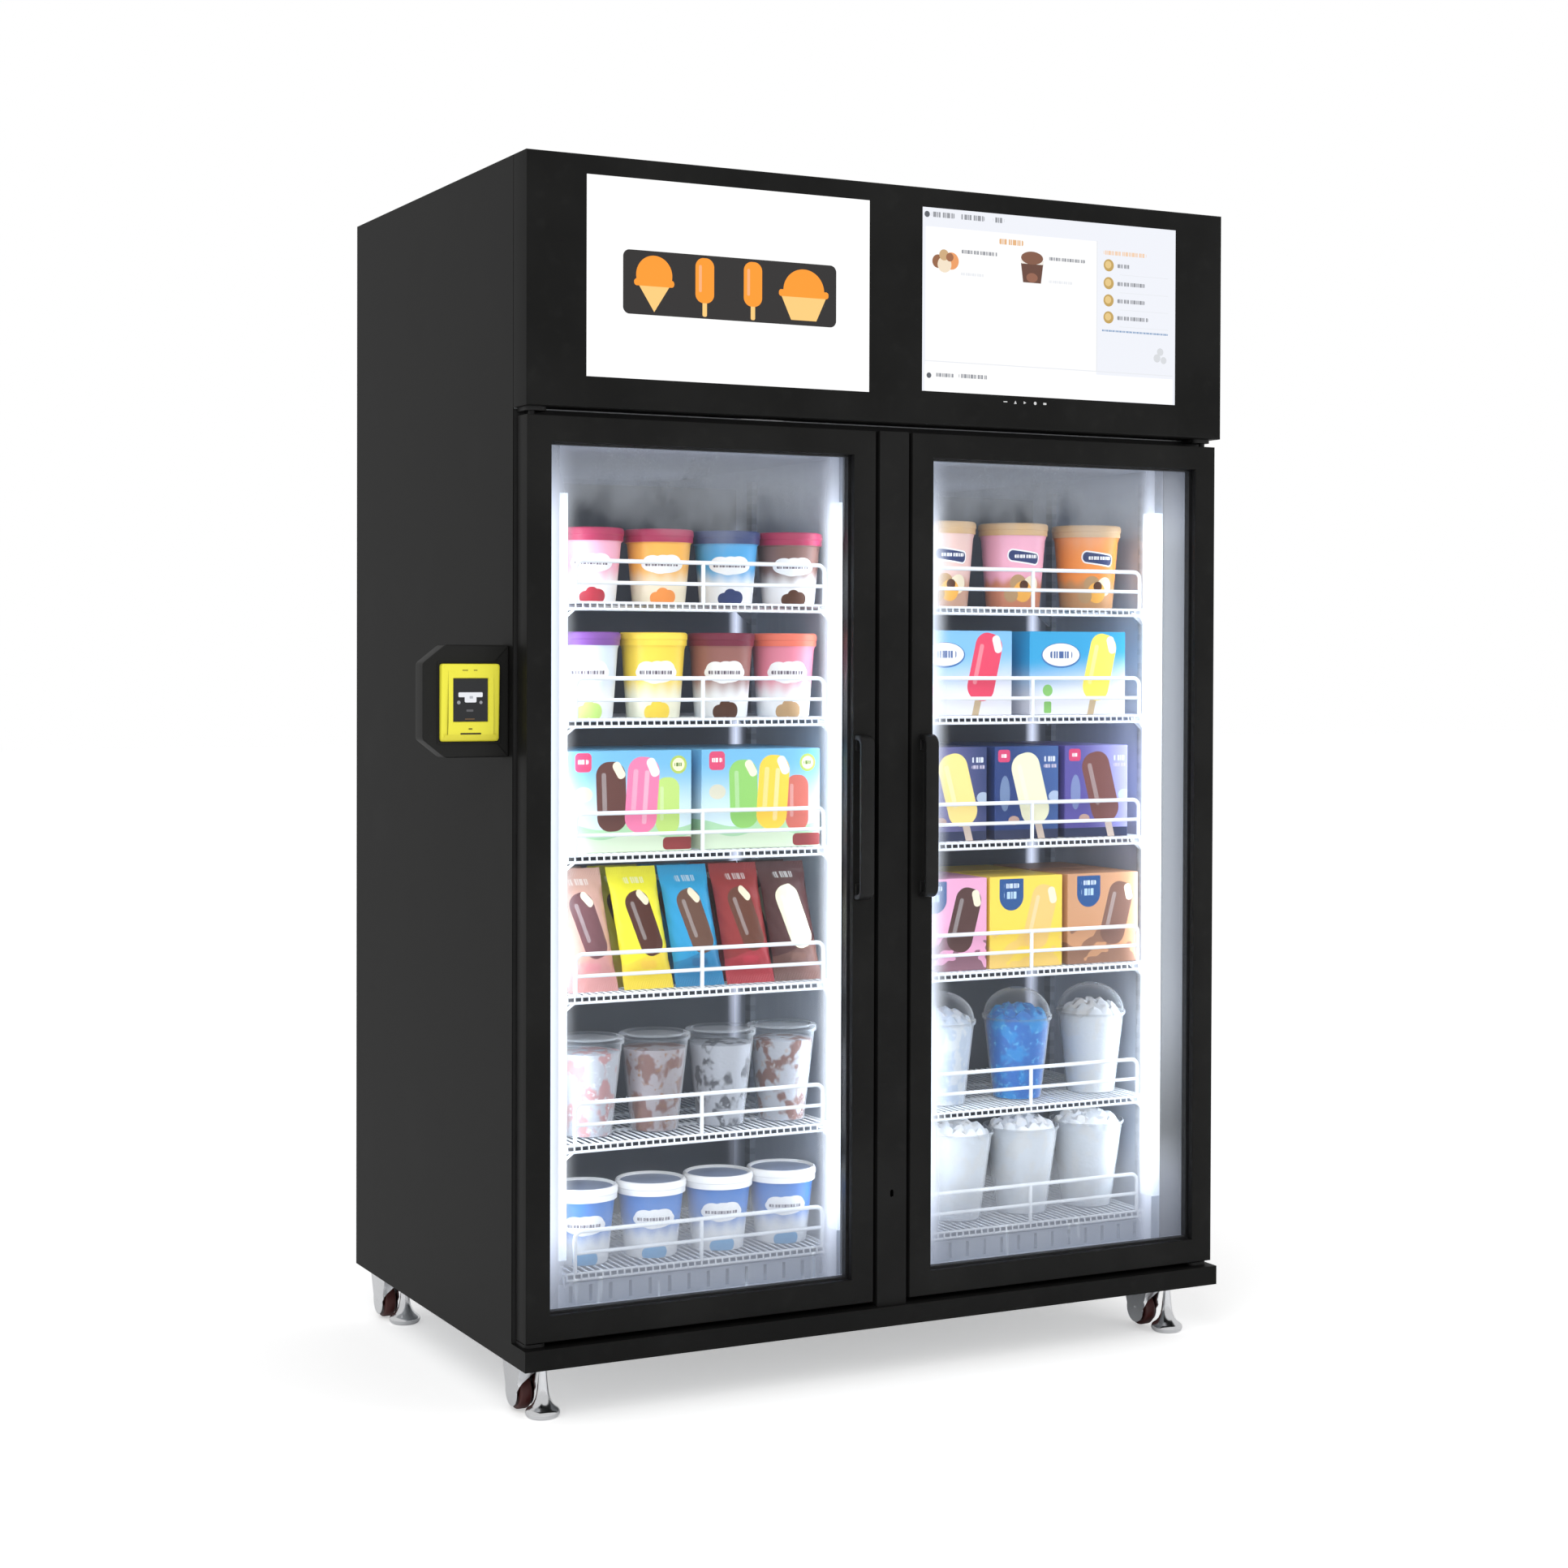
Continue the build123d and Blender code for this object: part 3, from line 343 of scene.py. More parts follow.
class Picture:
    """Flat shapes laid over one another on a surface's own u and v, measured in its width."""

    def __init__(self, finish, ground, ratio):
        self.finish, self.colour = finish, ground
        self.u, v, _ = finish.axes(finish.node("UVMap", {"uv_map": "map"}))
        self.v = v * ratio

    def lay(self, colour, mask):
        self.colour = self.finish.mix(self.colour, colour, mask)

    def bar(self, u, v, wide, high, round_=0.002, lean=0):
        """A rounded bar: the distance outside an inner box is kept under the rounding's radius."""
        du, dv = self.u - u, self.v - v
        if lean:
            c, s = np.cos(radians(lean)), np.sin(radians(lean))
            du, dv = du * c + dv * s, dv * c - du * s
        du = (abs(du) - (wide / 2 - round_)).maths("MAXIMUM", 0)
        dv = (abs(dv) - (high / 2 - round_)).maths("MAXIMUM", 0)
        return du * du + dv * dv < round_ ** 2

    def disc(self, u, v, radius, squash=1):
        """A disc, or an oval whose height is squash times its width."""
        du, dv = self.u - u, (self.v - v) / squash
        return du * du + dv * dv < radius ** 2

    def cone(self, u, low, high, half):
        """A cone standing on its point: its half width grows with the height above the point."""
        inside = abs(self.u - u) < (self.v - low) * (half / (high - low))
        return inside * (self.v > low) * (self.v < high)

    def words(self, colour, left, right, v, high):
        """A row of small upright ticks, as a line of print looks from afar."""
        step = self.u * (1.6 / high)
        tick = (step + (step * 2.3).maths("SINE") * 0.3).maths("FRACT")
        line = self.bar((left + right) / 2, v, right - left, high, high * 0.3)
        self.lay(colour, line * (tick < 0.66))

    def lolly(self, u, v, size, colour, stick=None, lean=0, bite=None):
        """An ice lolly: its stick, its rounded block with a streak of light, and the corner bitten off it."""
        c, s = np.cos(radians(lean)), np.sin(radians(lean))
        if stick:
            down = size * 0.6
            self.lay(stick, self.bar(u + s * down, v - c * down, size * 0.11, size * 0.4, size * 0.04, lean))
        self.lay(colour, self.bar(u, v, size * 0.46, size, size * 0.2, lean))
        streak = self.bar(u - size * 0.11, v + size * 0.04, size * 0.07, size * 0.6, size * 0.03, lean)
        self.lay(self.finish.mix(self.colour, white, 0.22), streak)
        if bite:
            across, up = size * 0.13, size * 0.37
            corner = (u - s * up + c * across, v + c * up + s * across)
            self.lay(bite, self.bar(*corner, size * 0.13, size * 0.26, size * 0.06, lean + 28))


def lit_screen(name, finish_name, draw, ground, x0, x1, z0, z1, y, border=0):
    """A screen's lit face: a flat grid with u and v, whose picture glows under a smooth dark glass."""
    finish = new_finish(finish_name)
    picture = Picture(finish, ground, (z1 - z0) / (x1 - x0))
    draw(picture)
    finish.coat(
        Base_Color=(0.02, 0.02, 0.02), Roughness=0.12, Specular_IOR_Level=0.3,
        Emission_Color=picture.colour, Emission_Strength=1.0,
    )
    x0, x1, z0, z1 = x0 + border, x1 - border, z0 + border, z1 - border
    u, v = np.meshgrid(np.linspace(0, 1, 9), np.linspace(0, 1, 5), indexing="ij")
    grid = np.stack([x0 + (x1 - x0) * u, 0 * u + y, z0 + (z1 - z0) * v, u, v], -1)
    lay(name, "cabinet", finish.owner, [grid])


def promotion(p):
    """A dark rounded plate on white, with a cone, two ice lollies and a cup drawn on it in orange."""
    orange, pale = (1.0, 0.33, 0.015), (1.0, 0.62, 0.20)
    p.lay((0.012, 0.010, 0.010), p.bar(0.5, 0.302, 0.753, 0.200, 0.022))
    p.lay(pale, p.cone(0.230, 0.212, 0.302, 0.058))
    p.lay(orange, p.disc(0.230, 0.326, 0.062) * (p.v > 0.302))
    p.lay(orange, p.bar(0.230, 0.303, 0.138, 0.022, 0.010))
    p.lolly(0.405, 0.322, 0.142, orange, pale)
    p.lolly(0.575, 0.322, 0.142, orange, pale)
    p.lay(pale, p.cone(0.758, 0.120, 0.300, 0.084) * (p.v > 0.218))
    p.lay(orange, p.disc(0.758, 0.312, 0.074, 0.95) * (p.v > 0.302))
    p.lay(orange, p.bar(0.758, 0.303, 0.180, 0.022, 0.009))


def menu(p):
    """A pale menu: a heading, two pictures with lines beside them, and a column of round buttons."""
    dark, grey, line = (0.10, 0.11, 0.13), (0.30, 0.31, 0.34), (0.80, 0.82, 0.86)
    paper, tan, gold = (0.98, 0.98, 0.98), (0.80, 0.46, 0.22), (0.55, 0.36, 0.10)
    p.lay(paper, p.bar(0.345, 0.265, 0.665, 0.54, 0.004))
    p.lay(line, p.bar(0.679, 0.318, 0.004, 0.435, 0.001))
    p.lay(line, p.bar(0.5, 0.099, 0.98, 0.003, 0.001))
    p.lay(paper, p.bar(0.5, 0.045, 0.98, 0.086, 0.004))
    p.lay(dark, p.disc(0.018, 0.574, 0.010))
    for left, right in ((0.035, 0.122), (0.145, 0.236), (0.269, 0.312)):
        p.words(grey, left, right, 0.575, 0.017)
    p.words(tan, 0.293, 0.386, 0.506, 0.018)
    for u, v, r, shade in (
            (0.060, 0.424, 0.022, (0.30, 0.12, 0.05)), (0.110, 0.428, 0.028, (0.85, 0.34, 0.12)),
            (0.084, 0.415, 0.026, (0.90, 0.76, 0.58)), (0.082, 0.446, 0.018, (0.62, 0.40, 0.20)),
            (0.104, 0.440, 0.014, (0.36, 0.14, 0.06))):
        p.lay(shade, p.disc(u, v, r))
    p.lay((0.13, 0.05, 0.03), p.cone(0.421, 0.12, 0.452, 0.045) * (p.v > 0.378))
    p.lay((0.30, 0.12, 0.07), p.disc(0.421, 0.395, 0.022, 0.7))
    p.lay((0.90, 0.86, 0.80), p.bar(0.421, 0.447, 0.090, 0.014, 0.006))
    p.lay((0.22, 0.09, 0.05), p.disc(0.421, 0.460, 0.043, 0.5))
    p.words(grey, 0.149, 0.286, 0.462, 0.012)
    p.words(grey, 0.487, 0.630, 0.463, 0.011)
    p.words(line, 0.146, 0.234, 0.389, 0.009)
    p.words(line, 0.487, 0.579, 0.387, 0.009)
    p.words((0.90, 0.62, 0.42), 0.705, 0.879, 0.500, 0.014)
    for v, right in ((0.458, 0.813), (0.398, 0.873), (0.340, 0.873), (0.283, 0.888)):
        p.lay(gold, p.disc(0.726, v, 0.0205))
        p.lay((0.80, 0.58, 0.24), p.disc(0.724, v + 0.002, 0.0125))
        p.words(grey, 0.761, right, v, 0.013)
        p.lay(line, p.bar(0.87, v - 0.029, 0.20, 0.002, 0.001))
    p.words((0.16, 0.30, 0.52), 0.700, 0.969, 0.238, 0.006)
    for u, v, r in ((0.938, 0.178, 0.013), (0.925, 0.156, 0.014), (0.952, 0.150, 0.012)):
        p.lay((0.68, 0.70, 0.73), p.disc(u, v, r))
    p.lay(dark, p.disc(0.027, 0.052, 0.009))
    p.words(grey, 0.050, 0.121, 0.055, 0.012)
    p.words(grey, 0.140, 0.249, 0.056, 0.013)


def rounded_mark(wide, high, radius, number):
    """The outline of one key's mark: an arrowhead up, one to the right, and rounded bars for the others."""
    if number in (1, 2):
        tip = [(-wide / 2, -high / 2), (wide / 2, -high / 2), (0, high / 2), (-wide / 2, -high / 2)]
        return tip if number == 1 else [(v, u) for u, v in tip]
    corners = []
    for u, v, start in ((1, -1, 270), (1, 1, 0), (-1, 1, 90), (-1, -1, 180)):
        corners += turn((u * (wide / 2 - radius), v * (high / 2 - radius)), radius, start, start + 90)
    return corners + corners[:1]


def mottled(name, low, high, scale, roughness, grain=None, detail=2, sheen=0, **more):
    """A surface that wanders between two shades over a noise, its roughness with it, and may have a grain.

    Scale and detail are the noise's. A grain of the same scale is the noise itself.
    """
    finish = new_finish(name)
    mottle = finish.noise(scale, detail)
    if grain:
        more["height"] = mottle if grain == scale else finish.noise(grain)
    return finish.coat(Base_Color=finish.mix(low, high, mottle),
                       Roughness=roughness + mottle * sheen if sheen else roughness, **more)


dress("left_display right_touchscreen", mottled(
    "screen case", (0.016, 0.016, 0.017), (0.03, 0.03, 0.031), 900, 0.5, 900, depth=0.0001))
key_print = mottled("pale key print", (0.55,) * 3, (0.75,) * 3, 300, 0.6)
key_y, key_z = hy0 - 0.00015, 1.5993
keys = []
for number, (x, wide, high) in enumerate((
        (0.2738, 0.0075, 0.0016), (0.2933, 0.0052, 0.0052), (0.3120, 0.0046, 0.0050),
        (0.3321, 0.0055, 0.0055), (0.3510, 0.0062, 0.0034))):
    round_ = min(wide, high) * (0.49 if number == 3 else 0.25)
    shape = np.array(rounded_mark(wide, high, round_, number))
    u, v = np.stack([shape * 0, shape]).transpose(2, 0, 1)
    keys.append(np.stack([u + x, 0 * u + key_y, v + key_z], -1))
lay("screen_key_marks", "cabinet", key_print, keys)
screen_y = hy0 + 0.0009
lit_screen("left_screen_face", "left picture", promotion, (1, 1, 1), lx0, lx1, lz0, lz1, screen_y)
lit_screen("right_screen_face", "right menu", menu, (0.86, 0.88, 0.94), rx0, rx1, rz0, rz1, screen_y)


# Door frames.
# Each is a welded ring of four aluminium rails, mitred at the corners and coated satin black. The rails'
# edges are rounded, and a small bead on their inner side holds the glass.
frame_coat = powder_coat("black door coat", (0.0085, 0.0085, 0.0082), 0.40)


def rounded(points, radius, steps=3):
    """A closed profile of (inset, y) points with each corner rounded by an arc between its tangent points."""
    points = np.array(points, float)
    out = []
    for k, corner in enumerate(points):
        before, after = points[k - 1] - corner, points[(k + 1) % len(points)] - corner
        before, after = before / np.linalg.norm(before), after / np.linalg.norm(after)
        for t in np.linspace(0, 1, steps + 1):
            out.append(corner + radius * ((1 - t) ** 2 * before + t ** 2 * after))
    return out + out[:1]


for side in ("left", "right"):
    (x0, y0, z0), (x1, y1, z1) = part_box(f"{side}_door_frame")
    lip_back, groove_back = y0 + 0.012, y1 - 0.009
    rail = rounded([(0, y1), (0, y0), (0.040, y0), (0.040, lip_back), (0.031, lip_back),
                    (0.031, groove_back), (0.040, groove_back), (0.040, y1)], 0.0018)
    lay(f"{side}_door_ring", f"{side}_door", frame_coat, [ring(x0, x1, z0, z1, rail)],
        replaces=[f"{side}_door_frame"])
dress("left_door_gasket right_door_gasket", mottled(
    "gasket rubber", (0.018,) * 3, (0.04,) * 3, 60, 0.7, 400, depth=0.0001))


# Glass.
# Two panes with a black spacer between them, sealed as a unit. Cold air meets the inner pane, so it is
# misted along its top and bottom, with drops and clear runs in the mist. A painted glow lies on it beside
# the light bars.
dress("left_glass_spacer right_glass_spacer", mottled("black spacer", (0.008,) * 3, (0.02,) * 3, 80, 0.45))

(_, _, gz0), (gx1, gy1, gz1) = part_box("right_door_panes")
(mx0, _, _), (mx1, _, _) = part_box("centre_pillar")
# The compartments mirror each other: each runs from pillar_wall to outer_wall, measured from the middle.
middle = (mx0 + mx1) / 2
pillar_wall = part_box("shelves_right")[0][0] - middle - 0.020
outer_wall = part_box("air_duct_panels")[1][0] - middle


def mist(finish, z):
    """How thick the mist is: blotched along the top, deep and cut by thin clear runs along the bottom."""
    blots, fine = finish.noise(13, 4, stretch=(1, 1, 0.6)), finish.noise(260, 3)
    runs = finish.noise(1, 1, stretch=(95, 1, 7))
    top = finish.ramp(z + (blots - 0.5) * 0.20, gz1 - 0.17, gz1 - 0.02)
    low = finish.ramp(z - (blots - 0.5) * 0.10, gz0 + 0.22, gz0 + 0.04)
    clear_runs = finish.ramp(runs, 0.68, 0.78) * finish.ramp(z, gz0 + 0.075, gz0 + 0.045)
    top = top * finish.ramp(fine + blots * 0.6, 0.50, 0.72, 0.34, 0.78)
    return top.maths("MAXIMUM", low * (1 - clear_runs * 0.8))


def beside(finish, x, edges):
    """The glow beside each light bar: edges are where a glow starts on the pane, and how far it reaches."""
    total = 0
    for edge, reach in edges:
        near = finish.ramp(abs(x - edge), abs(reach), 0.004)
        total = near * ((x - edge) * reach > -0.006 * abs(reach)) + total
    return total


glass = new_finish("frosted glass")
x, y, z = glass.axes()
inner = y > gy1 - 0.006
haze = mist(glass, z) * inner
# Painted glow: beside each light bar, near the outer edge of the right door's pane, and in a thin line along
# the bottom of the inner pane, the glass shines and turns less clear.
glow = beside(glass, x, [(middle - outer_wall - 0.030, 0.062), (middle - pillar_wall - 0.038, -0.036),
                         (middle + pillar_wall + 0.022, 0.055), (middle + outer_wall - 0.040, -0.034)])
glow = glow ** 1.4
wall_shine = glass.ramp(x, gx1 - 0.062, gx1 - 0.052, 0, 0.42) * glass.ramp(z, gz0 + 0.16, gz0 + 0.45, 0.45, 1)
glow = glow.maths("MAXIMUM", wall_shine)
bottom_glow_line = glass.ramp(z, gz0 + 0.013, gz0 + 0.009) * inner
bottom_end, top_end = [glass.ramp(z, edge + way * 0.02, edge + way * 0.14, 0.3, 1)
                       for edge, way in ((gz0, 1), (gz1, -1))]
glow = (glow * inner * bottom_end * top_end).maths("MAXIMUM", bottom_glow_line)
mirror = glass.node("Math", {"operation": "SUBTRACT", "use_clamp": True}, {0: 1, 1: (haze + glow) * 8})
glass.coat(
    Base_Color=glass.mix((0.85, 0.90, 0.93), (0.30, 0.32, 0.36), haze), Metallic=mirror,
    Roughness=0.02 + haze * 0.5, Alpha=0.010 + haze * 0.34 + glow * 0.50,
    Emission_Color=glass.mix((0.05, 0.06, 0.09), (0.72, 0.80, 1.0), glow), Emission_Strength=1.0,
)
glass.owner.surface_render_method = "BLENDED"
dress("left_door_panes right_door_panes", glass.owner)


# Handles.
# A flat bow pull on each door, bent from one bar and coated black. Its ends turn in to the stile, where each
# stands against a small flat foot.
def round_box(low, high, radius, steps=3):
    """A box with round edges: a small ball's surface, cut at its middle planes and drawn apart."""
    low, high = np.array(low, float), np.array(high, float)
    middle, half = (low + high) / 2, (high - low) / 2 - radius
    quarter = np.linspace(0, np.pi / 2, steps + 1)
    around = np.concatenate([quarter + q * np.pi / 2 for q in range(4)] + [[2 * np.pi]])
    sign_x = np.append(np.repeat([1, -1, -1, 1], steps + 1), 1)[None, :]
    sign_y = np.append(np.repeat([1, 1, -1, -1], steps + 1), 1)[None, :]
    up = np.concatenate([quarter - np.pi / 2, quarter])[:, None]
    sign_z = np.repeat([-1, 1], steps + 1)[:, None]
    x = sign_x * half[0] + radius * np.cos(up) * np.cos(around)
    y = sign_y * half[1] + radius * np.cos(up) * np.sin(around)
    z = sign_z * half[2] + radius * np.sin(up) + 0 * x
    grid = np.stack([x, y, z], -1)
    ends = np.zeros((1, grid.shape[1], 3))
    grid = np.concatenate([ends + [0, 0, grid[0, 0, 2]], grid, ends + [0, 0, grid[-1, 0, 2]]])
    return grid + middle


def ribbon(path, x0, x1, thick, radius):
    """A flat bar bent along a path in (y, z): its rounded section is set across the path at each point."""
    path = np.array(path, float)
    along = np.gradient(path, axis=0)
    along /= np.linalg.norm(along, axis=1)[:, None]
    normal = np.stack([-along[:, 1], along[:, 0]], -1)
    w, t = (x1 - x0) / 2, thick / 2
    section = []
    for cx, ct, start in ((w - radius, t - radius, 0), (radius - w, t - radius, 90),
                          (radius - w, radius - t, 180), (w - radius, radius - t, 270)):
        section += turn((cx, ct), radius, start, start + 90, 3)
    section = np.array(section + section[:1])
    rows = []
    for point, cross in zip(path, normal):
        yz = point + section[:, 1:2] * cross
        rows.append(np.stack([(x0 + x1) / 2 + section[:, 0], yz[:, 0], yz[:, 1]], -1))
    rows = np.array(rows)
    first, last = [end.mean(1, keepdims=True) + 0 * end for end in (rows[:1], rows[-1:])]
    return np.concatenate([first, rows, last])


handle_coat = powder_coat("black handle coat", (0.008, 0.008, 0.008), 0.33, 0.4)
for side in ("left", "right"):
    (x0, y0, z0), (x1, y1, z1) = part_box(f"{side}_door_handle")
    t, r = 0.009, 0.013
    bow = [(y1, z0 + t / 2)] + turn((y0 + t / 2 + r, z0 + t / 2 + r), r, 270, 180, 8)
    bow += [(y0 + t / 2, z0 + 0.06), (y0 + t / 2, z1 - 0.06)]
    bow += turn((y0 + t / 2 + r, z1 - t / 2 - r), r, 180, 90, 8) + [(y1, z1 - t / 2)]
    feet = [round_box((x0 + 0.0015, y1 - 0.003, z), (x1 - 0.0015, y1, z + 0.026), 0.0014)
            for z in (z0, z1 - 0.026)]
    lay(f"{side}_door_pull", f"{side}_door", handle_coat, [ribbon(bow, x0, x1, t, 0.0028)] + feet,
        replaces=[f"{side}_door_handle"])


# Inside of the cabinet.
# Each compartment has a moulded pale liner, a face frame round its mouth, and a grey sheet in front of
# the coils, with outlets under the ceiling and a grille low down where the air goes back.
(_, py0, _), (_, _, pz1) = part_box("air_duct_panels")
right_walls = (middle - pillar_wall, middle + outer_wall)


def corner_gleam(finish):
    """The gleam of a light bar in the back right corner of each compartment, weaker towards the floor."""
    x, y, z = finish.axes()
    near = sum(finish.ramp(abs(x - wall), 0.016, 0.001) for wall in right_walls)
    near = near * finish.ramp(y, py0 - 0.035, py0)
    near = near * finish.ramp(z, pz1 - 0.04, pz1 - 0.17) * finish.ramp(z, 0.28, 0.80, 0.15, 1)
    return finish.mix((0, 0, 0), (0.62, 0.68, 0.85), near)


liner_coat = new_finish("pale liner")
rime = liner_coat.ramp(liner_coat.noise(1, 4, stretch=(30, 30, 6)), 0.45, 0.75, 0, 0.5)
liner_coat.coat(
    Base_Color=liner_coat.mix((0.60, 0.65, 0.74), (0.72, 0.77, 0.84), rime), Roughness=0.4,
    height=liner_coat.noise(300), depth=0.0001, strength=0.2,
    Emission_Color=corner_gleam(liner_coat), Emission_Strength=0.9,
)
dress("liners return_grilles", liner_coat.owner)

grey_sheet = new_finish("grey duct sheet")
cloud = grey_sheet.noise(1, 2, stretch=(5, 5, 2))
grey_sheet.coat(
    Base_Color=grey_sheet.mix((0.125, 0.138, 0.168), (0.16, 0.176, 0.21), cloud), Roughness=0.42,
    height=grey_sheet.noise(250), depth=0.0001, strength=0.2,
    Emission_Color=corner_gleam(grey_sheet), Emission_Strength=0.9,
)
dress("air_duct_panels", grey_sheet.owner)

dress("front_frame", mottled("black face frame", (0.008,) * 3, (0.018,) * 3, 20, 0.6, 500, depth=0.0001))

standard_steel = new_finish("slotted standard")
slot_pitch = 0.025
slot = (standard_steel.axes()[2] / slot_pitch).maths("FRACT")
slots = (slot > 0.3) * (slot < 0.72)
# The slots are drawn a darker grey than the steel, as painted shade in the holes; a bump sinks them too.
standard_steel.coat(
    Base_Color=standard_steel.mix((0.55, 0.58, 0.63), (0.45, 0.48, 0.53), slots), Metallic=0.6,
    Roughness=0.35, height=1 - slots, depth=0.001, strength=0.6,
)
dress("shelf_standards shelf_clips", standard_steel.owner)


# Light bars.
# A frosted diffuser with a round front stands at each side of both compartments, just behind the door.
# It glows a cold white over its whole length, and lights the goods.
bar_glow = new_finish("lit diffuser")
z = bar_glow.axes()[2]
(_, by0, bz0), (_, by1, bz1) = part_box("led_bars")
ends = bar_glow.ramp(z, bz0, bz0 + 0.05) * bar_glow.ramp(z, bz1, bz1 - 0.05)
bar_middle = (bz0 + bz1) / 2
bar_glow.coat(
    Base_Color=(0.9, 0.93, 0.97), Roughness=0.35, Emission_Strength=1.15,
    Emission_Color=bar_glow.mix((0.62, 0.76, 0.95), (0.90, 0.96, 1.0), ends),
)
dress("led_bars", bar_glow.owner)
for side in (-1, 1):
    for wall, inwards in ((pillar_wall, side), (outer_wall, -side)):
        lamp("bar_light", (middle + side * wall + inwards * 0.020, (by0 + by1) / 2 + 0.004, bar_middle),
             (90, 0, -60 * inwards), (0.016, bz1 - bz0 - 0.04), 0.85, (0.80, 0.90, 1.0))
    bay = middle + side * (pillar_wall + outer_wall) / 2
    lamp("bay_light", (bay, gy1 + 0.003, bar_middle), (90, 0, 0), (0.46, 1.25), 1.65, (0.88, 0.94, 1.0))


# Wire shelves.
# Drawn wire, welded and dipped in white epoxy. Close bars run front to back and turn down over two front
# wires, so the front edge is a strip with a row of small gaps.
def tube(path, radius, across, sides=8):
    """A round wire: a circle is set across a flat path at each point, and both ends are closed."""
    path, across = np.array(path, float), np.array(across, float)
    along = np.gradient(path, axis=0)
    along /= np.linalg.norm(along, axis=1)[:, None]
    normal = np.cross(along, across)
    angle = np.linspace(0, 2 * np.pi, sides + 1)[None, :, None]
    rows = path[:, None] + radius * (np.cos(angle) * normal[:, None] + np.sin(angle) * across)
    ends = np.ones((1, sides + 1, 1))
    return np.concatenate([path[:1, None] * ends, rows, path[-1:, None] * ends])


def straight(a, b, radius, sides=8):
    """A straight wire between two points."""
    a, b = np.array(a, float), np.array(b, float)
    across = np.cross(b - a, (0.3, 0.5, 0.8))
    return tube([a, b], radius, across / np.linalg.norm(across), sides)


wire_coat = mottled("white dipped wire", (0.80, 0.83, 0.87), (0.88, 0.90, 0.93), 120, 0.3, 500, 3, 0.15,
                    depth=0.0001)


def shelf_heights(node):
    """The upper faces of a stack of shelves, read from the part's own vertices, highest first."""
    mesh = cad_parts[node].data
    z = np.empty(len(mesh.vertices) * 3, "f")
    mesh.vertices.foreach_get("co", z)
    levels = np.unique(np.round(z.reshape(-1, 3)[:, 2], 4))
    tops = [level for level in levels if not np.any((levels > level + 1e-4) & (levels < level + 0.05))]
    return sorted(tops, reverse=True)


tops = shelf_heights("shelves_left")
for side in ("left", "right"):
    (x0, y0, _), (x1, y1, _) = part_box(f"shelves_{side}")
    wires = []
    for top in tops:
        for x in np.linspace(x0 + 0.003, x1 - 0.003, 39):
            bent = [(x, y1 - 0.003, top - 0.0015), (x, y0 + 0.006, top - 0.0015),
                    (x, y0 + 0.0025, top - 0.003), (x, y0 + 0.0015, top - 0.013)]
            wires.append(tube(bent, 0.0015, (1, 0, 0), 5))
        for z, r in ((top - 0.0025, 0.0022), (top - 0.0125, 0.0024)):
            wires.append(straight((x0 + r, y0 + 0.0035, z), (x1 - r, y0 + 0.0035, z), r))
        for y in (y0 + 0.12, y0 + 0.25, y1 - 0.004):
            wires.append(straight((x0 + 0.0025, y, top - 0.0055), (x1 - 0.0025, y, top - 0.0055), 0.0025))
        for x, inwards in ((x0 + 0.0025, 1), (x1 - 0.0025, -1)):
            hook = (x, y0 + 0.010, top - 0.0245)
            wires.append(straight((x, y0 + 0.004, top - 0.004), (x, y1 - 0.002, top - 0.004), 0.0025))
            wires.append(straight(hook, (x + inwards * 0.013, y0 + 0.005, top - 0.013), 0.002))
            wires.append(straight(hook, (x, y0 + 0.016, top - 0.005), 0.002))
    lay(f"shelf_wires_{side}", "cabinet", wire_coat, wires, sharp=60, replaces=[f"shelves_{side}"])


# Shelf guards.
# A hoop of thicker wire with rounded corners stands on each shelf's front edge, with a middle post and a
# lower rail, and keeps the goods from falling against the door.
guards = []
(_, y0, _), (_, y1, _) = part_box("shelf_guards")
y = (y0 + y1) / 2
for side in ("left", "right"):
    (x0, _, _), (x1, _, _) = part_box(f"shelves_{side}")
    x0, x1 = x0 + 0.017, x1 - 0.017
    for top in tops:
        r, high = 0.012, top + 0.063
        hoop = [(x0, top - 0.002)] + turn((x0 + r, high - r), r, 180, 90, 5)
        hoop += turn((x1 - r, high - r), r, 90, 0, 5) + [(x1, top - 0.002)]
        guards.append(tube([(x, y, z) for x, z in hoop], 0.0034, (0, 1, 0), 10))
        guards.append(straight((x0, y, top + 0.029), (x1, y, top + 0.029), 0.0031, 10))
        guards.append(straight(((x0 + x1) / 2, y, top - 0.002), ((x0 + x1) / 2, y, high), 0.0034, 10))
lay("guard_hoops", "cabinet", wire_coat, guards, sharp=60, replaces=["shelf_guards"])


# Tubs of ice cream.
# Waxed card tubs with a tight plastic lid, one row of them on a shelf. Each print fades from a plain
# colour into a pale one, with a label and a few scoops or fruits, and has no words.
def turned(profile, centre, sides=36, low=0.0):
    """A shape turned on an upright lathe: (radius, height) points carried round, with u round and v up."""
    profile = np.array(profile, float)
    u = np.linspace(0, 1, sides + 1)[None, :]
    angle = (u - 0.75) * 2 * np.pi
    r, z = profile[:, :1], profile[:, 1:]
    v = low + z / max(profile[:, 1].max(), 1e-6)
    x, y = centre[0] + r * np.cos(angle), centre[1] + r * np.sin(angle)
    return np.stack([x, y, centre[2] + z + 0 * u, u + 0 * r, v + 0 * u], -1)


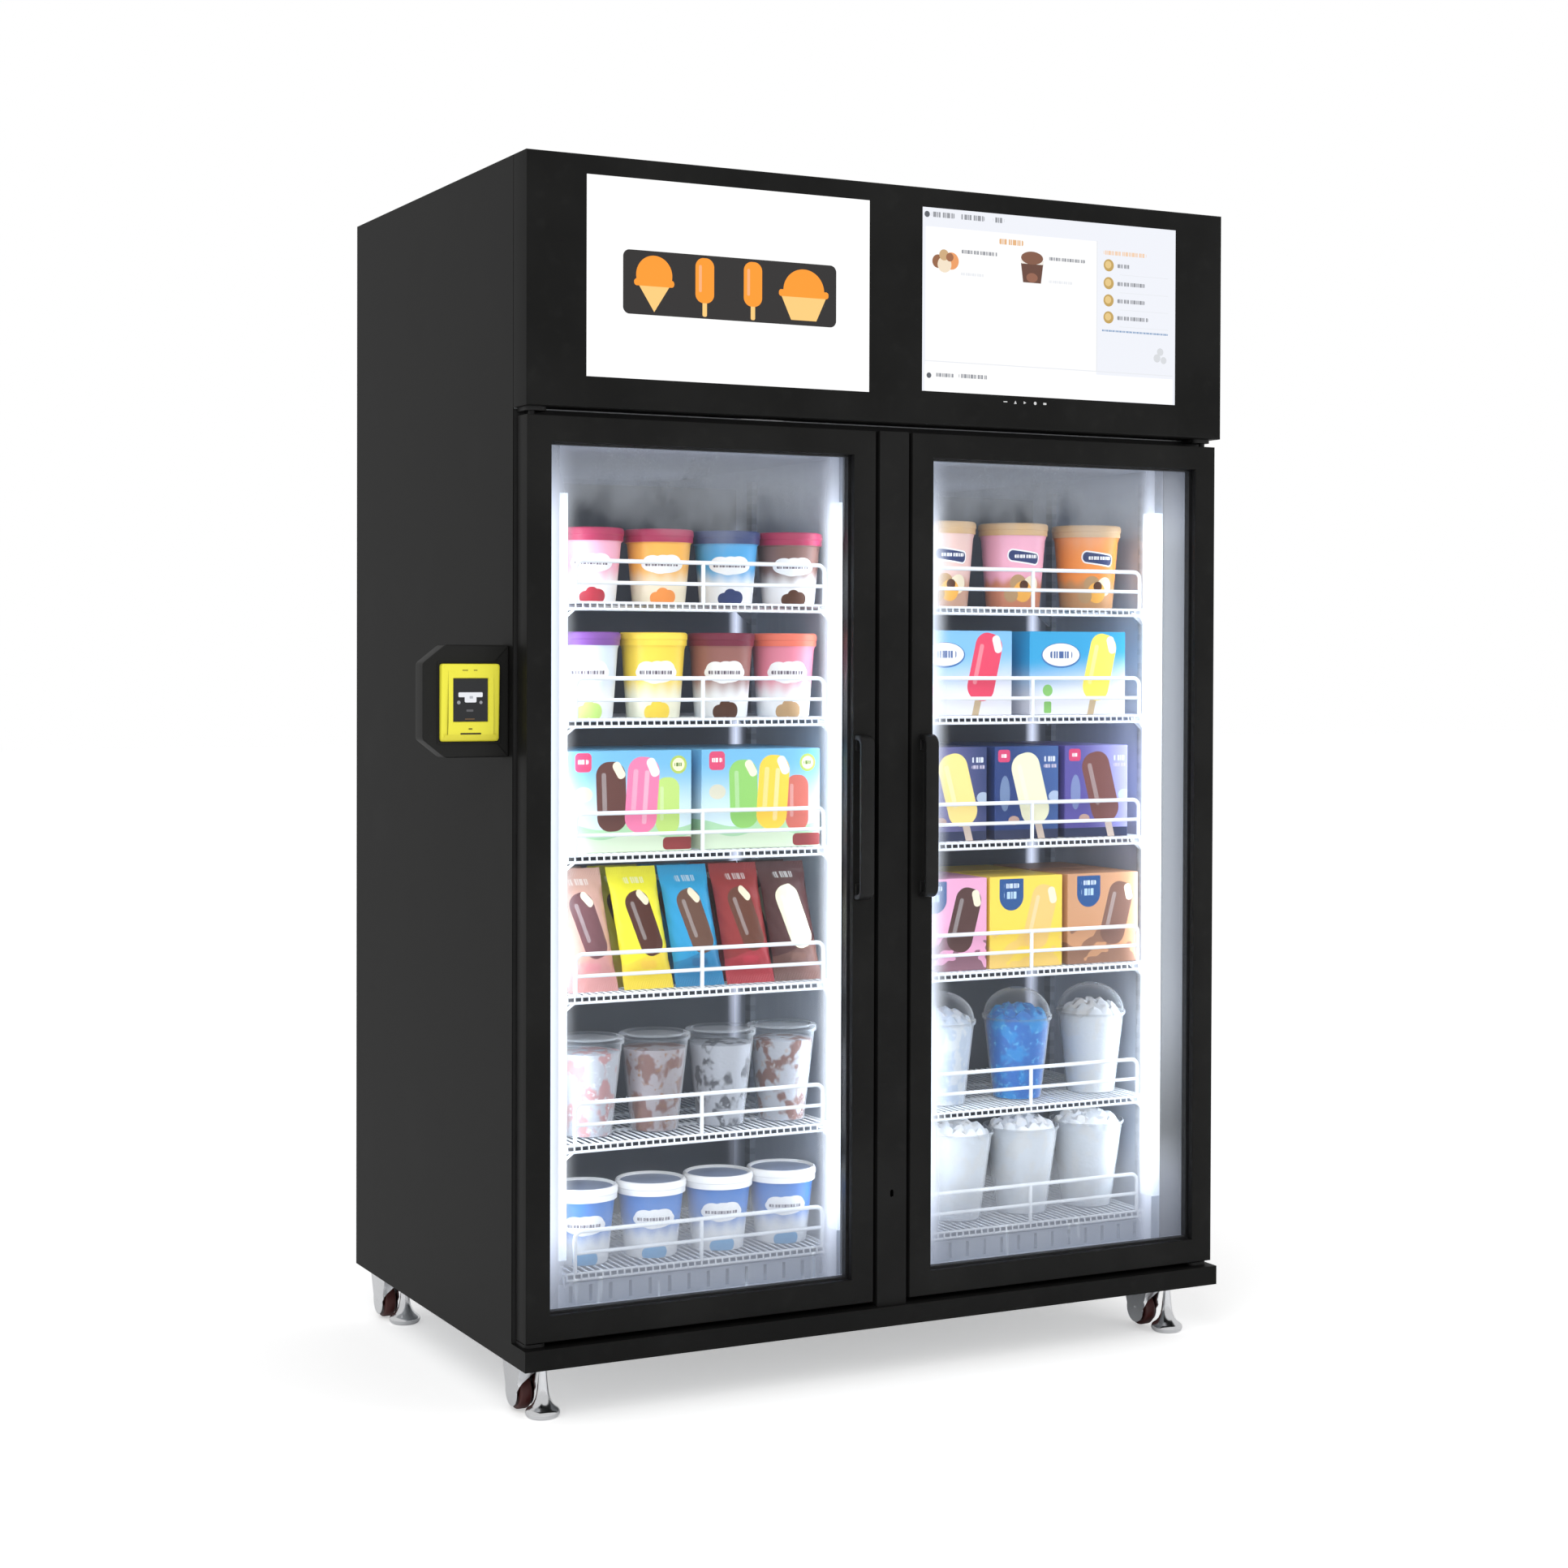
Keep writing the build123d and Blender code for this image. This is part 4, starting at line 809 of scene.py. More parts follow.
def tub(x, y, z, high, wide, narrow):
    """A tub's body, its lid with a stepped skirt and a raised rim, and the lid's sunk middle."""
    skirt, r = 0.021, wide - 0.003
    body = [(0, 0.003), (narrow - 0.004, 0.003), (narrow - 0.003, 0), (narrow - 0.001, 0), (narrow, 0.002)]
    body += [(narrow + (r - narrow) * t, high * t) for t in (0.2, 0.4, 0.6, 0.8)] + [(r, high - skirt)]
    lid = [(r, 0), (wide - 0.0012, 0), (wide - 0.001, skirt * 0.42), (wide, skirt * 0.48),
           (wide, skirt - 0.004), (wide - 0.0015, skirt - 0.0012), (wide - 0.004, skirt),
           (wide - 0.0065, skirt - 0.0012), (wide - 0.008, skirt - 0.004)]
    centre, sunk = (x, y, z + high - skirt), [lid[-1], (0, lid[-1][1])]
    return [turned(body, (x, y, z)), turned(lid, centre, low=2), turned(sunk, centre, low=2)]


def pack_piece(name, material, items, shape):
    """One piece for a kind of goods: each item is its place, its sizes and three tints, or three a part."""
    grids, tints = [], []
    for place, sizes, own in items:
        made = shape(*place, *sizes)
        grids += made
        tints += own if isinstance(own[0][0], tuple) else [own] * len(made)
    lay(name, "cabinet", material, grids, zip(("base", "second", "mark"), zip(*tints)))


def tint(finish, name):
    """The tint that each pack keeps under this name."""
    return finish.node("Attribute", {"attribute_name": name}, out="Color")


cream, cocoa, tan = (0.88, 0.78, 0.58), (0.10, 0.035, 0.015), (0.50, 0.31, 0.15)
crimson, rose, pink = (0.40, 0.03, 0.09), (0.72, 0.22, 0.30), (0.86, 0.42, 0.55)
orange, amber, yellow = (0.90, 0.30, 0.06), (0.92, 0.46, 0.08), (0.93, 0.66, 0.06)
navy, blue, sky_blue, ice = (0.03, 0.05, 0.16), (0.02, 0.17, 0.55), (0.07, 0.36, 0.68), (0.66, 0.74, 0.86)
green, lime, violet, maroon = (0.24, 0.55, 0.14), (0.50, 0.70, 0.18), (0.20, 0.07, 0.32), (0.17, 0.015, 0.04)


def print_fade(art, high, low):
    """The ground of a print, which turns from its own colour into its paler one in a wavy line."""
    f = art.finish
    edge = art.v + 0.008 * (art.u * 75).maths("SINE")
    art.colour = f.mix(tint(f, "second"), tint(f, "base"), f.ramp(edge, low, high))


def cloud_tub(art):
    """A white cloud of a label with a line of print on it, and a heap of fruit low on the right."""
    print_fade(art, 0.205, 0.085)
    for u, v, r, squash in ((0.42, 0.024, 0.040, 0.9), (0.49, 0.030, 0.046, 0.9), (0.455, 0.056, 0.034, 0.8)):
        art.lay(tint(art.finish, "mark"), art.disc(u, v, r, squash))
    for u, v, r, squash in ((0.455, 0.212, 0.120, 0.40), (0.40, 0.224, 0.055, 0.75),
                            (0.50, 0.222, 0.062, 0.75), (0.455, 0.232, 0.050, 0.70),
                            (0.44, 0.190, 0.050, 0.60)):
        art.lay(white, art.disc(u, v, r, squash))
    art.words((0.10, 0.07, 0.10), 0.36, 0.545, 0.213, 0.017)


def ribbon_tub(art):
    """A slanted dark ribbon with a pale edge, and scoops below it."""
    print_fade(art, 0.15, 0.10)
    for u, v, r, shade in ((0.44, 0.115, 0.045, tan), (0.52, 0.105, 0.050, cream),
                           (0.47, 0.075, 0.055, amber), (0.40, 0.060, 0.040, tan),
                           (0.475, 0.105, 0.026, cocoa)):
        art.lay(shade, art.disc(u, v, r, 0.9))
    art.lay(white, art.bar(0.475, 0.238, 0.186, 0.062, 0.028, -7))
    art.lay(navy, art.bar(0.475, 0.238, 0.172, 0.048, 0.022, -7))
    art.words(white, 0.42, 0.55, 0.241, 0.016)


def printed(name, draw, ratio, roughness=0.34):
    """A print on card, drawn over the tints of each pack."""
    finish = new_finish(name)
    art = Picture(finish, tint(finish, "base"), ratio)
    draw(art)
    return finish.coat(Base_Color=art.colour, Roughness=roughness, height=finish.noise(160), depth=0.0002,
                       strength=0.2)


tan_lid, berry = (0.62, 0.40, 0.20), (0.45, 0.03, 0.05)
shelf_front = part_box("shelves_right")[0][1]
# For each kind: shelf, then place across, base, second, mark and lid of each tub, then height and two radii.
print_rows = {
    "stock_tubs": (cloud_tub, [
        (0, [(-0.477, pink, white, berry, crimson), (-0.355, amber, cream, orange, crimson),
             (-0.235, sky_blue, white, navy, navy), (-0.120, (0.22, 0.12, 0.10), white, cocoa, crimson)],
         0.117, 0.0565, 0.043),
        (1, [(-0.482, ice, white, lime, violet), (-0.365, yellow, (0.90, 0.86, 0.66), yellow, yellow),
             (-0.244, (0.30, 0.12, 0.10), white, cocoa, maroon),
             (-0.130, rose, white, tan, (0.75, 0.16, 0.10))],
         0.136, 0.0555, 0.043),
        (5, [(x, blue, white, sky_blue, white) for x in (-0.486, -0.366, -0.246, -0.130)],
         0.122, 0.0575, 0.042)]),
    "stock_ribbon_tubs": (ribbon_tub, [
        (0, [(0.173, (0.80, 0.55, 0.50), (0.60, 0.35, 0.25), navy, tan_lid),
             (0.318, pink, (0.60, 0.22, 0.12), navy, tan_lid),
             (0.469, orange, (0.55, 0.28, 0.12), navy, tan_lid)], 0.144, 0.0605, 0.046)]),
}
for name, (draw, rows) in print_rows.items():
    tubs = []
    for row, stock, high, wide, narrow in rows:
        for x, base, second, mark, lid in stock:
            panel = (0.22, 0.27, 0.40) if lid is white else lid
            place = (middle + x, shelf_front + 0.020 + wide, tops[row])
            tubs.append((place, (high, wide, narrow), ((base, second, mark), (lid,) * 3, (panel,) * 3)))
    title = name.replace("stock_", "").replace("_", " ") + " print"
    pack_piece(name, printed(title, draw, 0.34), tubs, tub)


# Cartons.
# Folded card boxes of ice lollies. Every kind has its own picture, in which the lollies' and the ground's
# colours change from box to box, and a line of ticks stands for its print.
def mapped(grid, low, high):
    """A grid with u and v laid flat over the front of its box, in decimetres from its lower right corner."""
    u, v = (grid[..., 0] - high[0]) / 0.1, (grid[..., 2] - low[2]) / 0.1
    return np.concatenate([grid, u[..., None], v[..., None]], -1)


def carton(x, y, z, wide, high, deep):
    """A card box with crisp folds."""
    low, high = (x - wide / 2, y, z), (x + wide / 2, y + deep, z + high)
    return [mapped(round_box(low, high, 0.0012, 1), low, high)]


def meadow_box(p):
    """Three lollies without sticks over a meadow, with a badge in each upper corner."""
    f = p.finish
    p.colour = f.mix((0.66, 0.80, 0.86), (0.17, 0.47, 0.72), f.ramp(p.v, 0.45, 1.45))
    hill = p.v - 0.06 * (p.u * 5).maths("SINE")
    p.lay((0.42, 0.68, 0.42), hill < 0.42)
    p.lay((0.68, 0.80, 0.60), hill < 0.26)
    p.lolly(-0.42, 0.72, 0.90, tint(f, "mark"))
    p.lolly(-1.39, 0.88, 1.10, tint(f, "base"), bite=cream, lean=2)
    p.lolly(-0.86, 0.90, 1.20, tint(f, "second"), bite=white, lean=-4)
    p.lay(f.mix(p.colour, white, 0.30), p.bar(-0.80, 0.86, 0.08, 0.85, 0.03, -4))
    p.lay((0.72, 0.06, 0.16), p.bar(-1.87, 1.42, 0.28, 0.30, 0.07))
    p.words(white, -1.96, -1.78, 1.43, 0.07)
    p.lay((0.45, 0.58, 0.10), p.disc(-0.23, 1.37, 0.145))
    p.lay((0.88, 0.86, 0.55), p.disc(-0.23, 1.37, 0.105))
    p.words((0.16, 0.26, 0.05), -0.30, -0.16, 1.37, 0.06)
    p.lay((0.30, 0.04, 0.04), p.bar(-0.24, 0.12, 0.52, 0.20, 0.07))
    p.lay((0.80, 0.62, 0.30), p.disc(-1.86, 0.92, 0.15, 0.8) * 0.6)


def sky_box(p):
    """One big lolly on the right of a blue sky, and an oval label with a line of ticks."""
    f = p.finish
    p.colour = f.mix((0.80, 0.80, 0.86), tint(f, "base"), f.ramp(p.v - 0.10 * (p.u + 1), 0.30, 1.05))
    p.lay((0.04, 0.16, 0.42), p.disc(-1.33, 1.02, 0.40, 0.54))
    p.lay(white, p.disc(-1.33, 1.03, 0.375, 0.52))
    p.words((0.06, 0.12, 0.32), -1.55, -1.10, 1.03, 0.12)
    p.lolly(-0.54, 0.82, 1.16, tint(f, "second"), (0.55, 0.42, 0.26), -13, white)
    p.lay(tint(f, "mark"), p.disc(-1.60, 0.42, 0.10) + p.bar(-1.60, 0.13, 0.15, 0.20, 0.03))


def night_box(p):
    """A leaning lolly on a night sky that pales to the right, with a small badge at the top left."""
    f = p.finish
    p.colour = f.mix(tint(f, "base"), tint(f, "second"), f.ramp(p.u + p.v * 0.15, -0.9, 0.3))
    p.lay((0.03, 0.04, 0.10), p.v < 0.16)
    p.lay((0.30, 0.42, 0.62), p.disc(-1.08, 0.78, 0.10, 3) * 0.5)
    p.lolly(-0.57, 0.86, 1.24, tint(f, "mark"), (0.62, 0.50, 0.42), 15)
    p.lay((0.66, 0.05, 0.16), p.bar(-1.10, 1.42, 0.24, 0.21, 0.05))
    p.words(white, -1.16, -1.04, 1.42, 0.06)
    p.words((0.66, 0.70, 0.80), -0.30, -0.06, 1.36, 0.09)
    p.words((0.55, 0.50, 0.62), -0.30, -0.04, 1.24, 0.06)
    p.lay((0.55, 0.66, 0.80), p.disc(-0.08, 0.72, 0.12, 0.8) * 0.7)
    p.lay((0.50, 0.32, 0.26), p.disc(-0.90, 0.32, 0.11, 0.7))


def shield_box(p):
    """A blue shield at the top, a lolly leaning the other way, and pieces of what it is made of below."""
    f = p.finish
    p.colour = tint(f, "base")
    pieces = f.noise(1, 1, f.node("UVMap", {"uv_map": "map"}), (3.1, 3.8, 1))
    p.lay(f.mix(p.colour, tint(f, "mark"), 0.75), (pieces + p.v * -0.35 > 0.40) * (p.v < 0.62))
    p.lolly(-0.45, 0.86, 1.10, tint(f, "mark"), lean=-15, bite=cream)
    p.lay((0.02, 0.09, 0.28), p.bar(-1.03, 1.36, 0.48, 0.32, 0.02) + p.disc(-1.03, 1.22, 0.24))
    p.words((0.62, 0.72, 0.85), -1.18, -0.88, 1.40, 0.08)
    p.words((0.45, 0.62, 0.80), -1.18, -0.88, 1.24, 0.12)


# For each kind: picture, shelf, height and depth, then place across, width and three tints of each box.
box_rows = {
    "stock_meadow_cartons": (meadow_box, 2, 0.160, 0.115, [
        (-0.430, 0.214, (0.13, 0.045, 0.035), (0.86, 0.20, 0.38), lime),
        (-0.198, 0.214, (0.28, 0.60, 0.14), (0.95, 0.60, 0.05), (0.62, 0.14, 0.10))]),
    "stock_sky_cartons": (sky_box, 1, 0.143, 0.10, [
        (0.200, 0.156, (0.20, 0.48, 0.78), (0.78, 0.05, 0.12), rose),
        (0.412, 0.196, (0.02, 0.34, 0.64), (0.95, 0.80, 0.10), green)]),
    "stock_night_cartons": (night_box, 2, 0.158, 0.12, [
        (0.174, 0.110, (0.16, 0.15, 0.34), navy, (0.92, 0.72, 0.25)),
        (0.309, 0.128, (0.02, 0.05, 0.20), (0.05, 0.12, 0.34), (0.80, 0.78, 0.56)),
        (0.451, 0.130, (0.10, 0.08, 0.34), (0.42, 0.42, 0.80), (0.20, 0.07, 0.06))]),
    "stock_shield_cartons": (shield_box, 3, 0.156, 0.12, [
        (0.166, 0.128, (0.80, 0.38, 0.58), pink, (0.10, 0.045, 0.04)),
        (0.309, 0.146, (0.90, 0.66, 0.08), yellow, (0.84, 0.56, 0.18)),
        (0.466, 0.146, (0.62, 0.32, 0.17), amber, (0.22, 0.11, 0.08))]),
}
for name, (draw, row, high, deep, stock) in box_rows.items():
    boxes = [((middle + x, shelf_front + 0.018 + d * (deep + 0.004), tops[row]), (wide, high, deep), tints)
             for x, wide, *tints in stock for d in range(2)]
    pack_piece(name, printed(name.replace("stock_", "").replace("_", " "), draw, 1, 0.4), boxes, carton)


# Wrapped bars.
# Foil flow packs, crimped flat at both ends, which lean back and sideways against each other on one shelf. A
# second row stands behind the first, its tints darkened as painted shade.
def wrapper(x, y, z, wide, high, lean):
    """A flow pack: two sheets bulge apart over the bar and meet in saw-toothed crimps at both ends."""
    u, v = np.meshgrid(np.linspace(0, 1, 21), np.linspace(0, 1, 41), indexing="ij")
    rise = np.clip(np.minimum(v, 1 - v) / 0.16 - 0.4, 0, 1)
    crimp = rise * rise * (3 - 2 * rise)
    swell = 0.015 * crimp * (1 - np.abs(2 * u - 1) ** 3) ** 0.7
    swell = swell + 0.0011 * np.sin(v * 42 + 5 * np.sin(u * 9)) * crimp * (1 - crimp * 0.6)
    swell = swell + 0.0009 * np.sin((u + v) * 31) * np.abs(2 * u - 1) * crimp
    tooth = 0.0012 * np.abs(((u * 16) % 1) - 0.5) * (1 - crimp)
    px = x + (u - 0.5) * wide * (1 - 0.05 * crimp) - 0.017 * (v - 0.2)
    pz = z + high * v + tooth * np.sign(v - 0.5)
    back = y + lean * v
    return [np.stack([px, back + side * swell, pz, u, v], -1) for side in (-1, 1)]


foil = new_finish("printed foil")
art = Picture(foil, tint(foil, "base"), 2.07)
art.lay(foil.mix(art.colour, tint(foil, "second"), 0.35), art.v - 0.3 * art.u < 0.42)
art.lolly(0.55, 1.12, 1.12, tint(foil, "mark"), lean=14, bite=cream)
art.words(foil.mix(art.colour, white, 0.5), 0.30, 0.72, 1.84, 0.10)
art.lay(foil.mix(art.colour, tint(foil, "second"), 0.4), art.bar(0.5, 0.42, 0.34, 0.14, 0.06))
ends = (art.v < 0.13) + (art.v > 1.94)
ridges = (art.u * 250).maths("SINE") * ends
foil.coat(Base_Color=art.colour, Roughness=0.26 + foil.noise(30) * 0.1, Metallic=0.1,
          height=foil.noise(60, 3) + ridges * 0.3, depth=0.0014, strength=0.5)
bars = []
for x, *colours in ((-0.490, (0.62, 0.36, 0.30), rose, (0.17, 0.07, 0.08)),
                    (-0.394, (0.88, 0.80, 0.03), amber, (0.09, 0.025, 0.015)),
                    (-0.304, (0.02, 0.33, 0.62), navy, (0.15, 0.07, 0.045)),
                    (-0.213, (0.30, 0.03, 0.03), (0.66, 0.05, 0.09), (0.14, 0.045, 0.025)),
                    (-0.126, (0.085, 0.03, 0.03), (0.30, 0.16, 0.12), (0.82, 0.80, 0.56))):
    for deep in range(2):
        place = (middle + x - deep * 0.016, shelf_front + 0.030 + deep * 0.036, tops[3])
        # The second row's tints are darkened to 0.4 of their value: painted shade, as if cast by the row in
        # front.
        painted_shade_tints = [tuple(value * (1 - 0.6 * deep) for value in colour) for colour in colours]
        bars.append((place, (0.086, 0.192, 0.040), painted_shade_tints))
pack_piece("stock_bars", foil.owner, bars, wrapper)


# Cups of ice.
# Clear tapered cups: on the left shelf with flat lids, on the right one with domes, and below them heaped
# with white crushed ice. What is in them shows through the wall.
def cup(x, y, z, high, wide, narrow, dome):
    """A clear cup: a thin taper with a rolled rim, under a flat or domed lid, or none if dome is negative."""
    wall = [(0, 0.001), (narrow, 0.001)]
    wall += [(narrow + (wide - narrow) * t, high * t) for t in (0.25, 0.5, 0.75, 1)]
    wall += [(wide + 0.002, high), (wide + 0.002, high - 0.004)]
    if dome < 0:
        return [turned(wall, (x, y, z))]
    if dome < 0.02:
        lid = [(wide + 0.003, 0), (wide + 0.003, 0.008), (wide, 0.010), (wide - 0.006, 0.010),
               (wide - 0.008, 0.006), (0, 0.006)]
    else:
        lid = [(wide + 0.003, 0), (wide + 0.003, 0.006)]
        lid += [(wide * np.cos(t), 0.006 + (dome - 0.006) * np.sin(t))
                for t in np.linspace(0.05, np.pi / 2 - 0.25, 8)]
    return [turned(wall, (x, y, z)), turned(lid, (x, y, z + high - 0.003))]


def heap(x, y, z, high, wide, narrow, lump):
    """What a cup holds: a taper inside its wall, with a rough top that may stand above the rim."""
    wide, narrow, top = wide - 0.002, narrow - 0.0015, high * 0.88
    sides = [(0, 0.002), (narrow, 0.002)]
    sides += [(narrow + (wide - narrow) * t, high * t) for t in (0.3, 0.6, 0.88)]
    crown = [(wide * 0.97 * np.cos(t), top + max(lump, 0.004) * np.sin(t))
             for t in np.linspace(0.1, np.pi / 2, 9)]
    grid = turned(sides + crown[:-1] + [(0, crown[-1][1])], (x, y, z), 40)
    size, rise = (150, 0.015) if lump > 0.025 else (480, 0.006)
    lumps = np.sin(grid[..., 0] * size + grid[..., 1] * 90) * np.sin(grid[..., 1] * size)
    rough = rise * np.abs(lumps) ** 0.6
    above = np.clip((grid[..., 2] - z - top) / 0.01, 0, 1)
    grid[..., 2] += (rough - 0.002) * above * (lump > 0.01)
    return [grid]


clear = new_finish("clear cup plastic")
# Seen edge-on, the plastic is whiter and less clear: a painted highlight down each cup's sides.
edge = clear.node("LayerWeight", None, {"Blend": 0.3}, out="Facing")
clear.coat(Base_Color=clear.mix((0.75, 0.80, 0.88), (0.95, 0.97, 1.0), edge), Roughness=0.12,
           Alpha=clear.ramp(edge, 0.15, 0.85, 0.05, 0.62), height=clear.noise(40), depth=0.0003)
clear.owner.surface_render_method = "BLENDED"
filling = new_finish("frozen filling")
frozen = filling.noise(110, 3)
layer = filling.noise(1, 2, stretch=(38, 38, 30))
layered = filling.mix(tint(filling, "base"), tint(filling, "second"), filling.ramp(layer, 0.48, 0.58))
filling.coat(Base_Color=filling.mix(layered, tint(filling, "mark"), filling.ramp(frozen, 0.55, 0.72)),
             Roughness=0.45, height=frozen, depth=0.002, strength=0.5)
snow, pale_ice, brown_ice = (0.85, 0.88, 0.92), (0.62, 0.63, 0.68), (0.30, 0.14, 0.11)
cups = []
for x, *mixed in ((-0.477, pale_ice, (0.66, 0.34, 0.34), snow),
                  (-0.361, (0.50, 0.44, 0.46), brown_ice, (0.42, 0.22, 0.12)),
                  (-0.243, pale_ice, (0.14, 0.14, 0.16), pale_ice),
                  (-0.131, pale_ice, brown_ice, (0.60, 0.52, 0.50))):
    cups.append(((middle + x, shelf_front + 0.075, tops[4]), (0.150, 0.055, 0.038), 0.010, -1, mixed))
for x, *mixed in ((0.179, ice, snow, snow), (0.333, (0.0, 0.20, 0.72), (0.0, 0.34, 0.86), (0.10, 0.56, 0.95)),
                  (0.486, snow, white, snow)):
    cups.append(((middle + x, shelf_front + 0.085, tops[4]), (0.140, 0.058, 0.042), 0.054, 0.030, mixed))
for x in (0.212, 0.346, 0.481):
    cups.append(((middle + x, shelf_front + 0.090, tops[5]), (0.150, 0.064, 0.043), -1, 0.026,
                 (snow, white, snow)))
pack_piece("stock_cups", clear.owner,
           [(place, (*size, dome), (white,) * 3) for place, size, dome, _, _ in cups], cup)
pack_piece("stock_fillings", filling.owner,
           [(place, (*size, lump), mixed) for place, size, _, lump, mixed in cups], heap)


# Payment terminal.
# A black moulding is screwed to the side skin, with its free corners cut off. In it sits a yellow reader
# with a sunk screen, a lamp, and a sloped chin with the slot for a card.
def outline(corners, radius, steps=4):
    """A closed outline in (x, z) with round corners, and for each of its points the way inwards."""
    points = np.array(rounded(corners, radius, steps))
    along = np.roll(points[:-1], -1, 0) - np.roll(points[:-1], 1, 0)
    inward = np.stack([-along[:, 1], along[:, 0]], -1)
    inward /= np.linalg.norm(inward, axis=1)[:, None]
    middle = points[:-1].mean(0)
    inward *= np.sign(((middle - points[:-1]) * inward).sum(1, keepdims=True))
    return points, np.concatenate([inward, inward[:1]])


def moulded(shape, profile, closed=True):
    """A moulded block: profile points (inset, y) are carried round an outline, and its ends are closed."""
    points, inward = shape
    rows = []
    for inset, y in profile:
        xz = points + inward * inset
        rows.append(np.stack([xz[:, 0], 0 * xz[:, 0] + y, xz[:, 1]], -1))
    if closed:
        rows = [0 * rows[0] + rows[0][:-1].mean(0)] + rows + [0 * rows[-1] + rows[-1][:-1].mean(0)]
    return np.array(rows)


(tx0, ty0, tz0), (tx1, ty1, tz1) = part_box("terminal_housing")
housing_plastic = mottled("black moulding", (0.010, 0.010, 0.0095), (0.022, 0.022, 0.021), 1100, 0.42, 1100,
                          depth=0.00012, Specular_IOR_Level=0.15)
cut = [(tx1, tz0), (tx0 + 0.036, tz0), (tx0, tz0 + 0.028), (tx0, tz1 - 0.028), (tx0 + 0.036, tz1), (tx1, tz1)]
lip = turn((0.004, ty0 + 0.004), 0.004, 180, 270)
(ex0, ey0, ez0), (ex1, ey1, ez1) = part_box("terminal_reader")
rim_low, rim_high, rim_out = ty0 + 0.001, ty0 - 0.0016, 0.0035
rim = rounded([(0, rim_low), (0, rim_high), (0.003, rim_high), (0.003, rim_low)], 0.0006)
shell = [moulded(outline(cut, 0.004), [(0, ty1)] + lip),
         ring(ex0 - rim_out, ex1 + rim_out, ez0 - rim_out, ez1 + rim_out, rim)]
lay("terminal_moulding", "cabinet", housing_plastic, shell, replaces=["terminal_housing"])

yellow_plastic = new_finish("yellow plastic")
# The yellow turns darker over the reader's lowest 20 mm.
darker_towards_bottom = yellow_plastic.ramp(yellow_plastic.axes()[2], ez0 + 0.02, ez0, 0, 0.5)
yellow_plastic.coat(
    Base_Color=yellow_plastic.mix((0.90, 0.84, 0.055), (0.70, 0.60, 0.03), darker_towards_bottom), Roughness=0.4,
    height=yellow_plastic.noise(1400), depth=0.0001,
)
(kx0, ky0, kz0), (kx1, _, kz1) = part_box("terminal_screen")


def with_chin(grid):
    """The front of the reader, whose lowest 15 mm slope back by up to 5.5 mm."""
    low = np.clip((ez0 + 0.015 - grid[..., 2]) / 0.015, 0, 1) * (grid[..., 1] < ey0 + 0.004)
    return grid + 0.0055 * low[..., None] * np.array([0, 1, 0])


edge, face_y = 0.0105, ey0 + 0.0002
case = [(0, ey1), (0, ey0 + 0.003)] + turn((0.003, ey0 + 0.003), 0.003, 180, 270)
case += [(0.009, ey0 + 0.0004), (edge, face_y)]
reader = [moulded(outline([(ex0, ez0), (ex1, ez0), (ex1, ez1), (ex0, ez1)], 0.005), case, closed=False)]
reader += flat_y([ex0 + edge, kx0, kx1, ex1 - edge], [ez0 + edge, kz0, kz1, ez1 - edge], face_y, {(1, 1)})
reader.append(ring(kx0, kx1, kz0, kz1, [(0, face_y), (0.0016, ky0 + 0.0008), (0.0016, ky0 + 0.002)]))
lay("terminal_reader_case", "cabinet", yellow_plastic.owner, [with_chin(grid) for grid in reader],
    replaces=["terminal_reader"])

slot_black = mottled("slot and lamp", (0.012, 0.010, 0.006), (0.05, 0.03, 0.01), 200, 0.5)
rx = (ex0 + ex1) / 2
marks = [round_box((rx + x0, ey0 + y0, z0), (rx + x1, ey0 + y1, z1), radius)
         for x0, x1, y0, y1, z0, z1, radius in (
             (-0.017, 0.017, 0.0012, 0.004, ez0 + 0.0105, ez0 + 0.0135, 0.0012),
             (-0.004, 0.002, -0.0002, 0.001, ez0 + 0.0185, ez0 + 0.0200, 0.0006),
             (-0.014, -0.005, -0.0001, 0.001, ez1 - 0.0105, ez1 - 0.0093, 0.0005),
             (0.004, 0.010, -0.0001, 0.001, ez1 - 0.0105, ez1 - 0.0093, 0.0005))]
lay("terminal_slot", "cabinet", slot_black, marks)


def card_sign(p):
    """A dark screen with a pale card drawn on it, a chip on the card, and a faint line of light below."""
    p.lay((0.82, 0.84, 0.88), p.bar(0.5, 0.73, 0.70, 0.13, 0.03))
    p.lay((0.82, 0.84, 0.88), p.bar(0.5, 0.62, 0.34, 0.20, 0.04))
    p.lay((0.45, 0.47, 0.52), p.bar(0.52, 0.66, 0.10, 0.07, 0.015))
    p.lay((0.30, 0.31, 0.33), p.disc(0.16, 0.52, 0.05) + p.disc(0.80, 0.52, 0.045))
    p.lay((0.10, 0.10, 0.11), p.bar(0.48, 0.30, 0.20, 0.06, 0.02))
    p.lay((0.22, 0.11, 0.03), p.bar(0.48, 0.07, 0.28, 0.02, 0.01))


dress("terminal_screen", slot_black)
lit_screen("terminal_screen_face", "reader picture", card_sign, (0.006, 0.007, 0.009),
           kx0, kx1, kz0, kz1, ky0 - 0.0002, border=0.0012)


# Levelling casters.
# Chrome-plated steel: a bell-shaped foot screwed down beside a wheel, in a bracket with two round-ended
# cheeks, a plate across their front, and a riveted axle. The wheel is red-brown nylon.
chrome = mottled("chrome plate", (0.82, 0.83, 0.85), (0.93, 0.94, 0.96), 70, 0.10, 70, 4, 0.16,
                 depth=0.0003, strength=0.15, Metallic=1.0)
nylon = mottled("red-brown nylon", (0.045, 0.008, 0.007), (0.085, 0.014, 0.011), 60, 0.42, 300, 4,
                depth=0.0002)


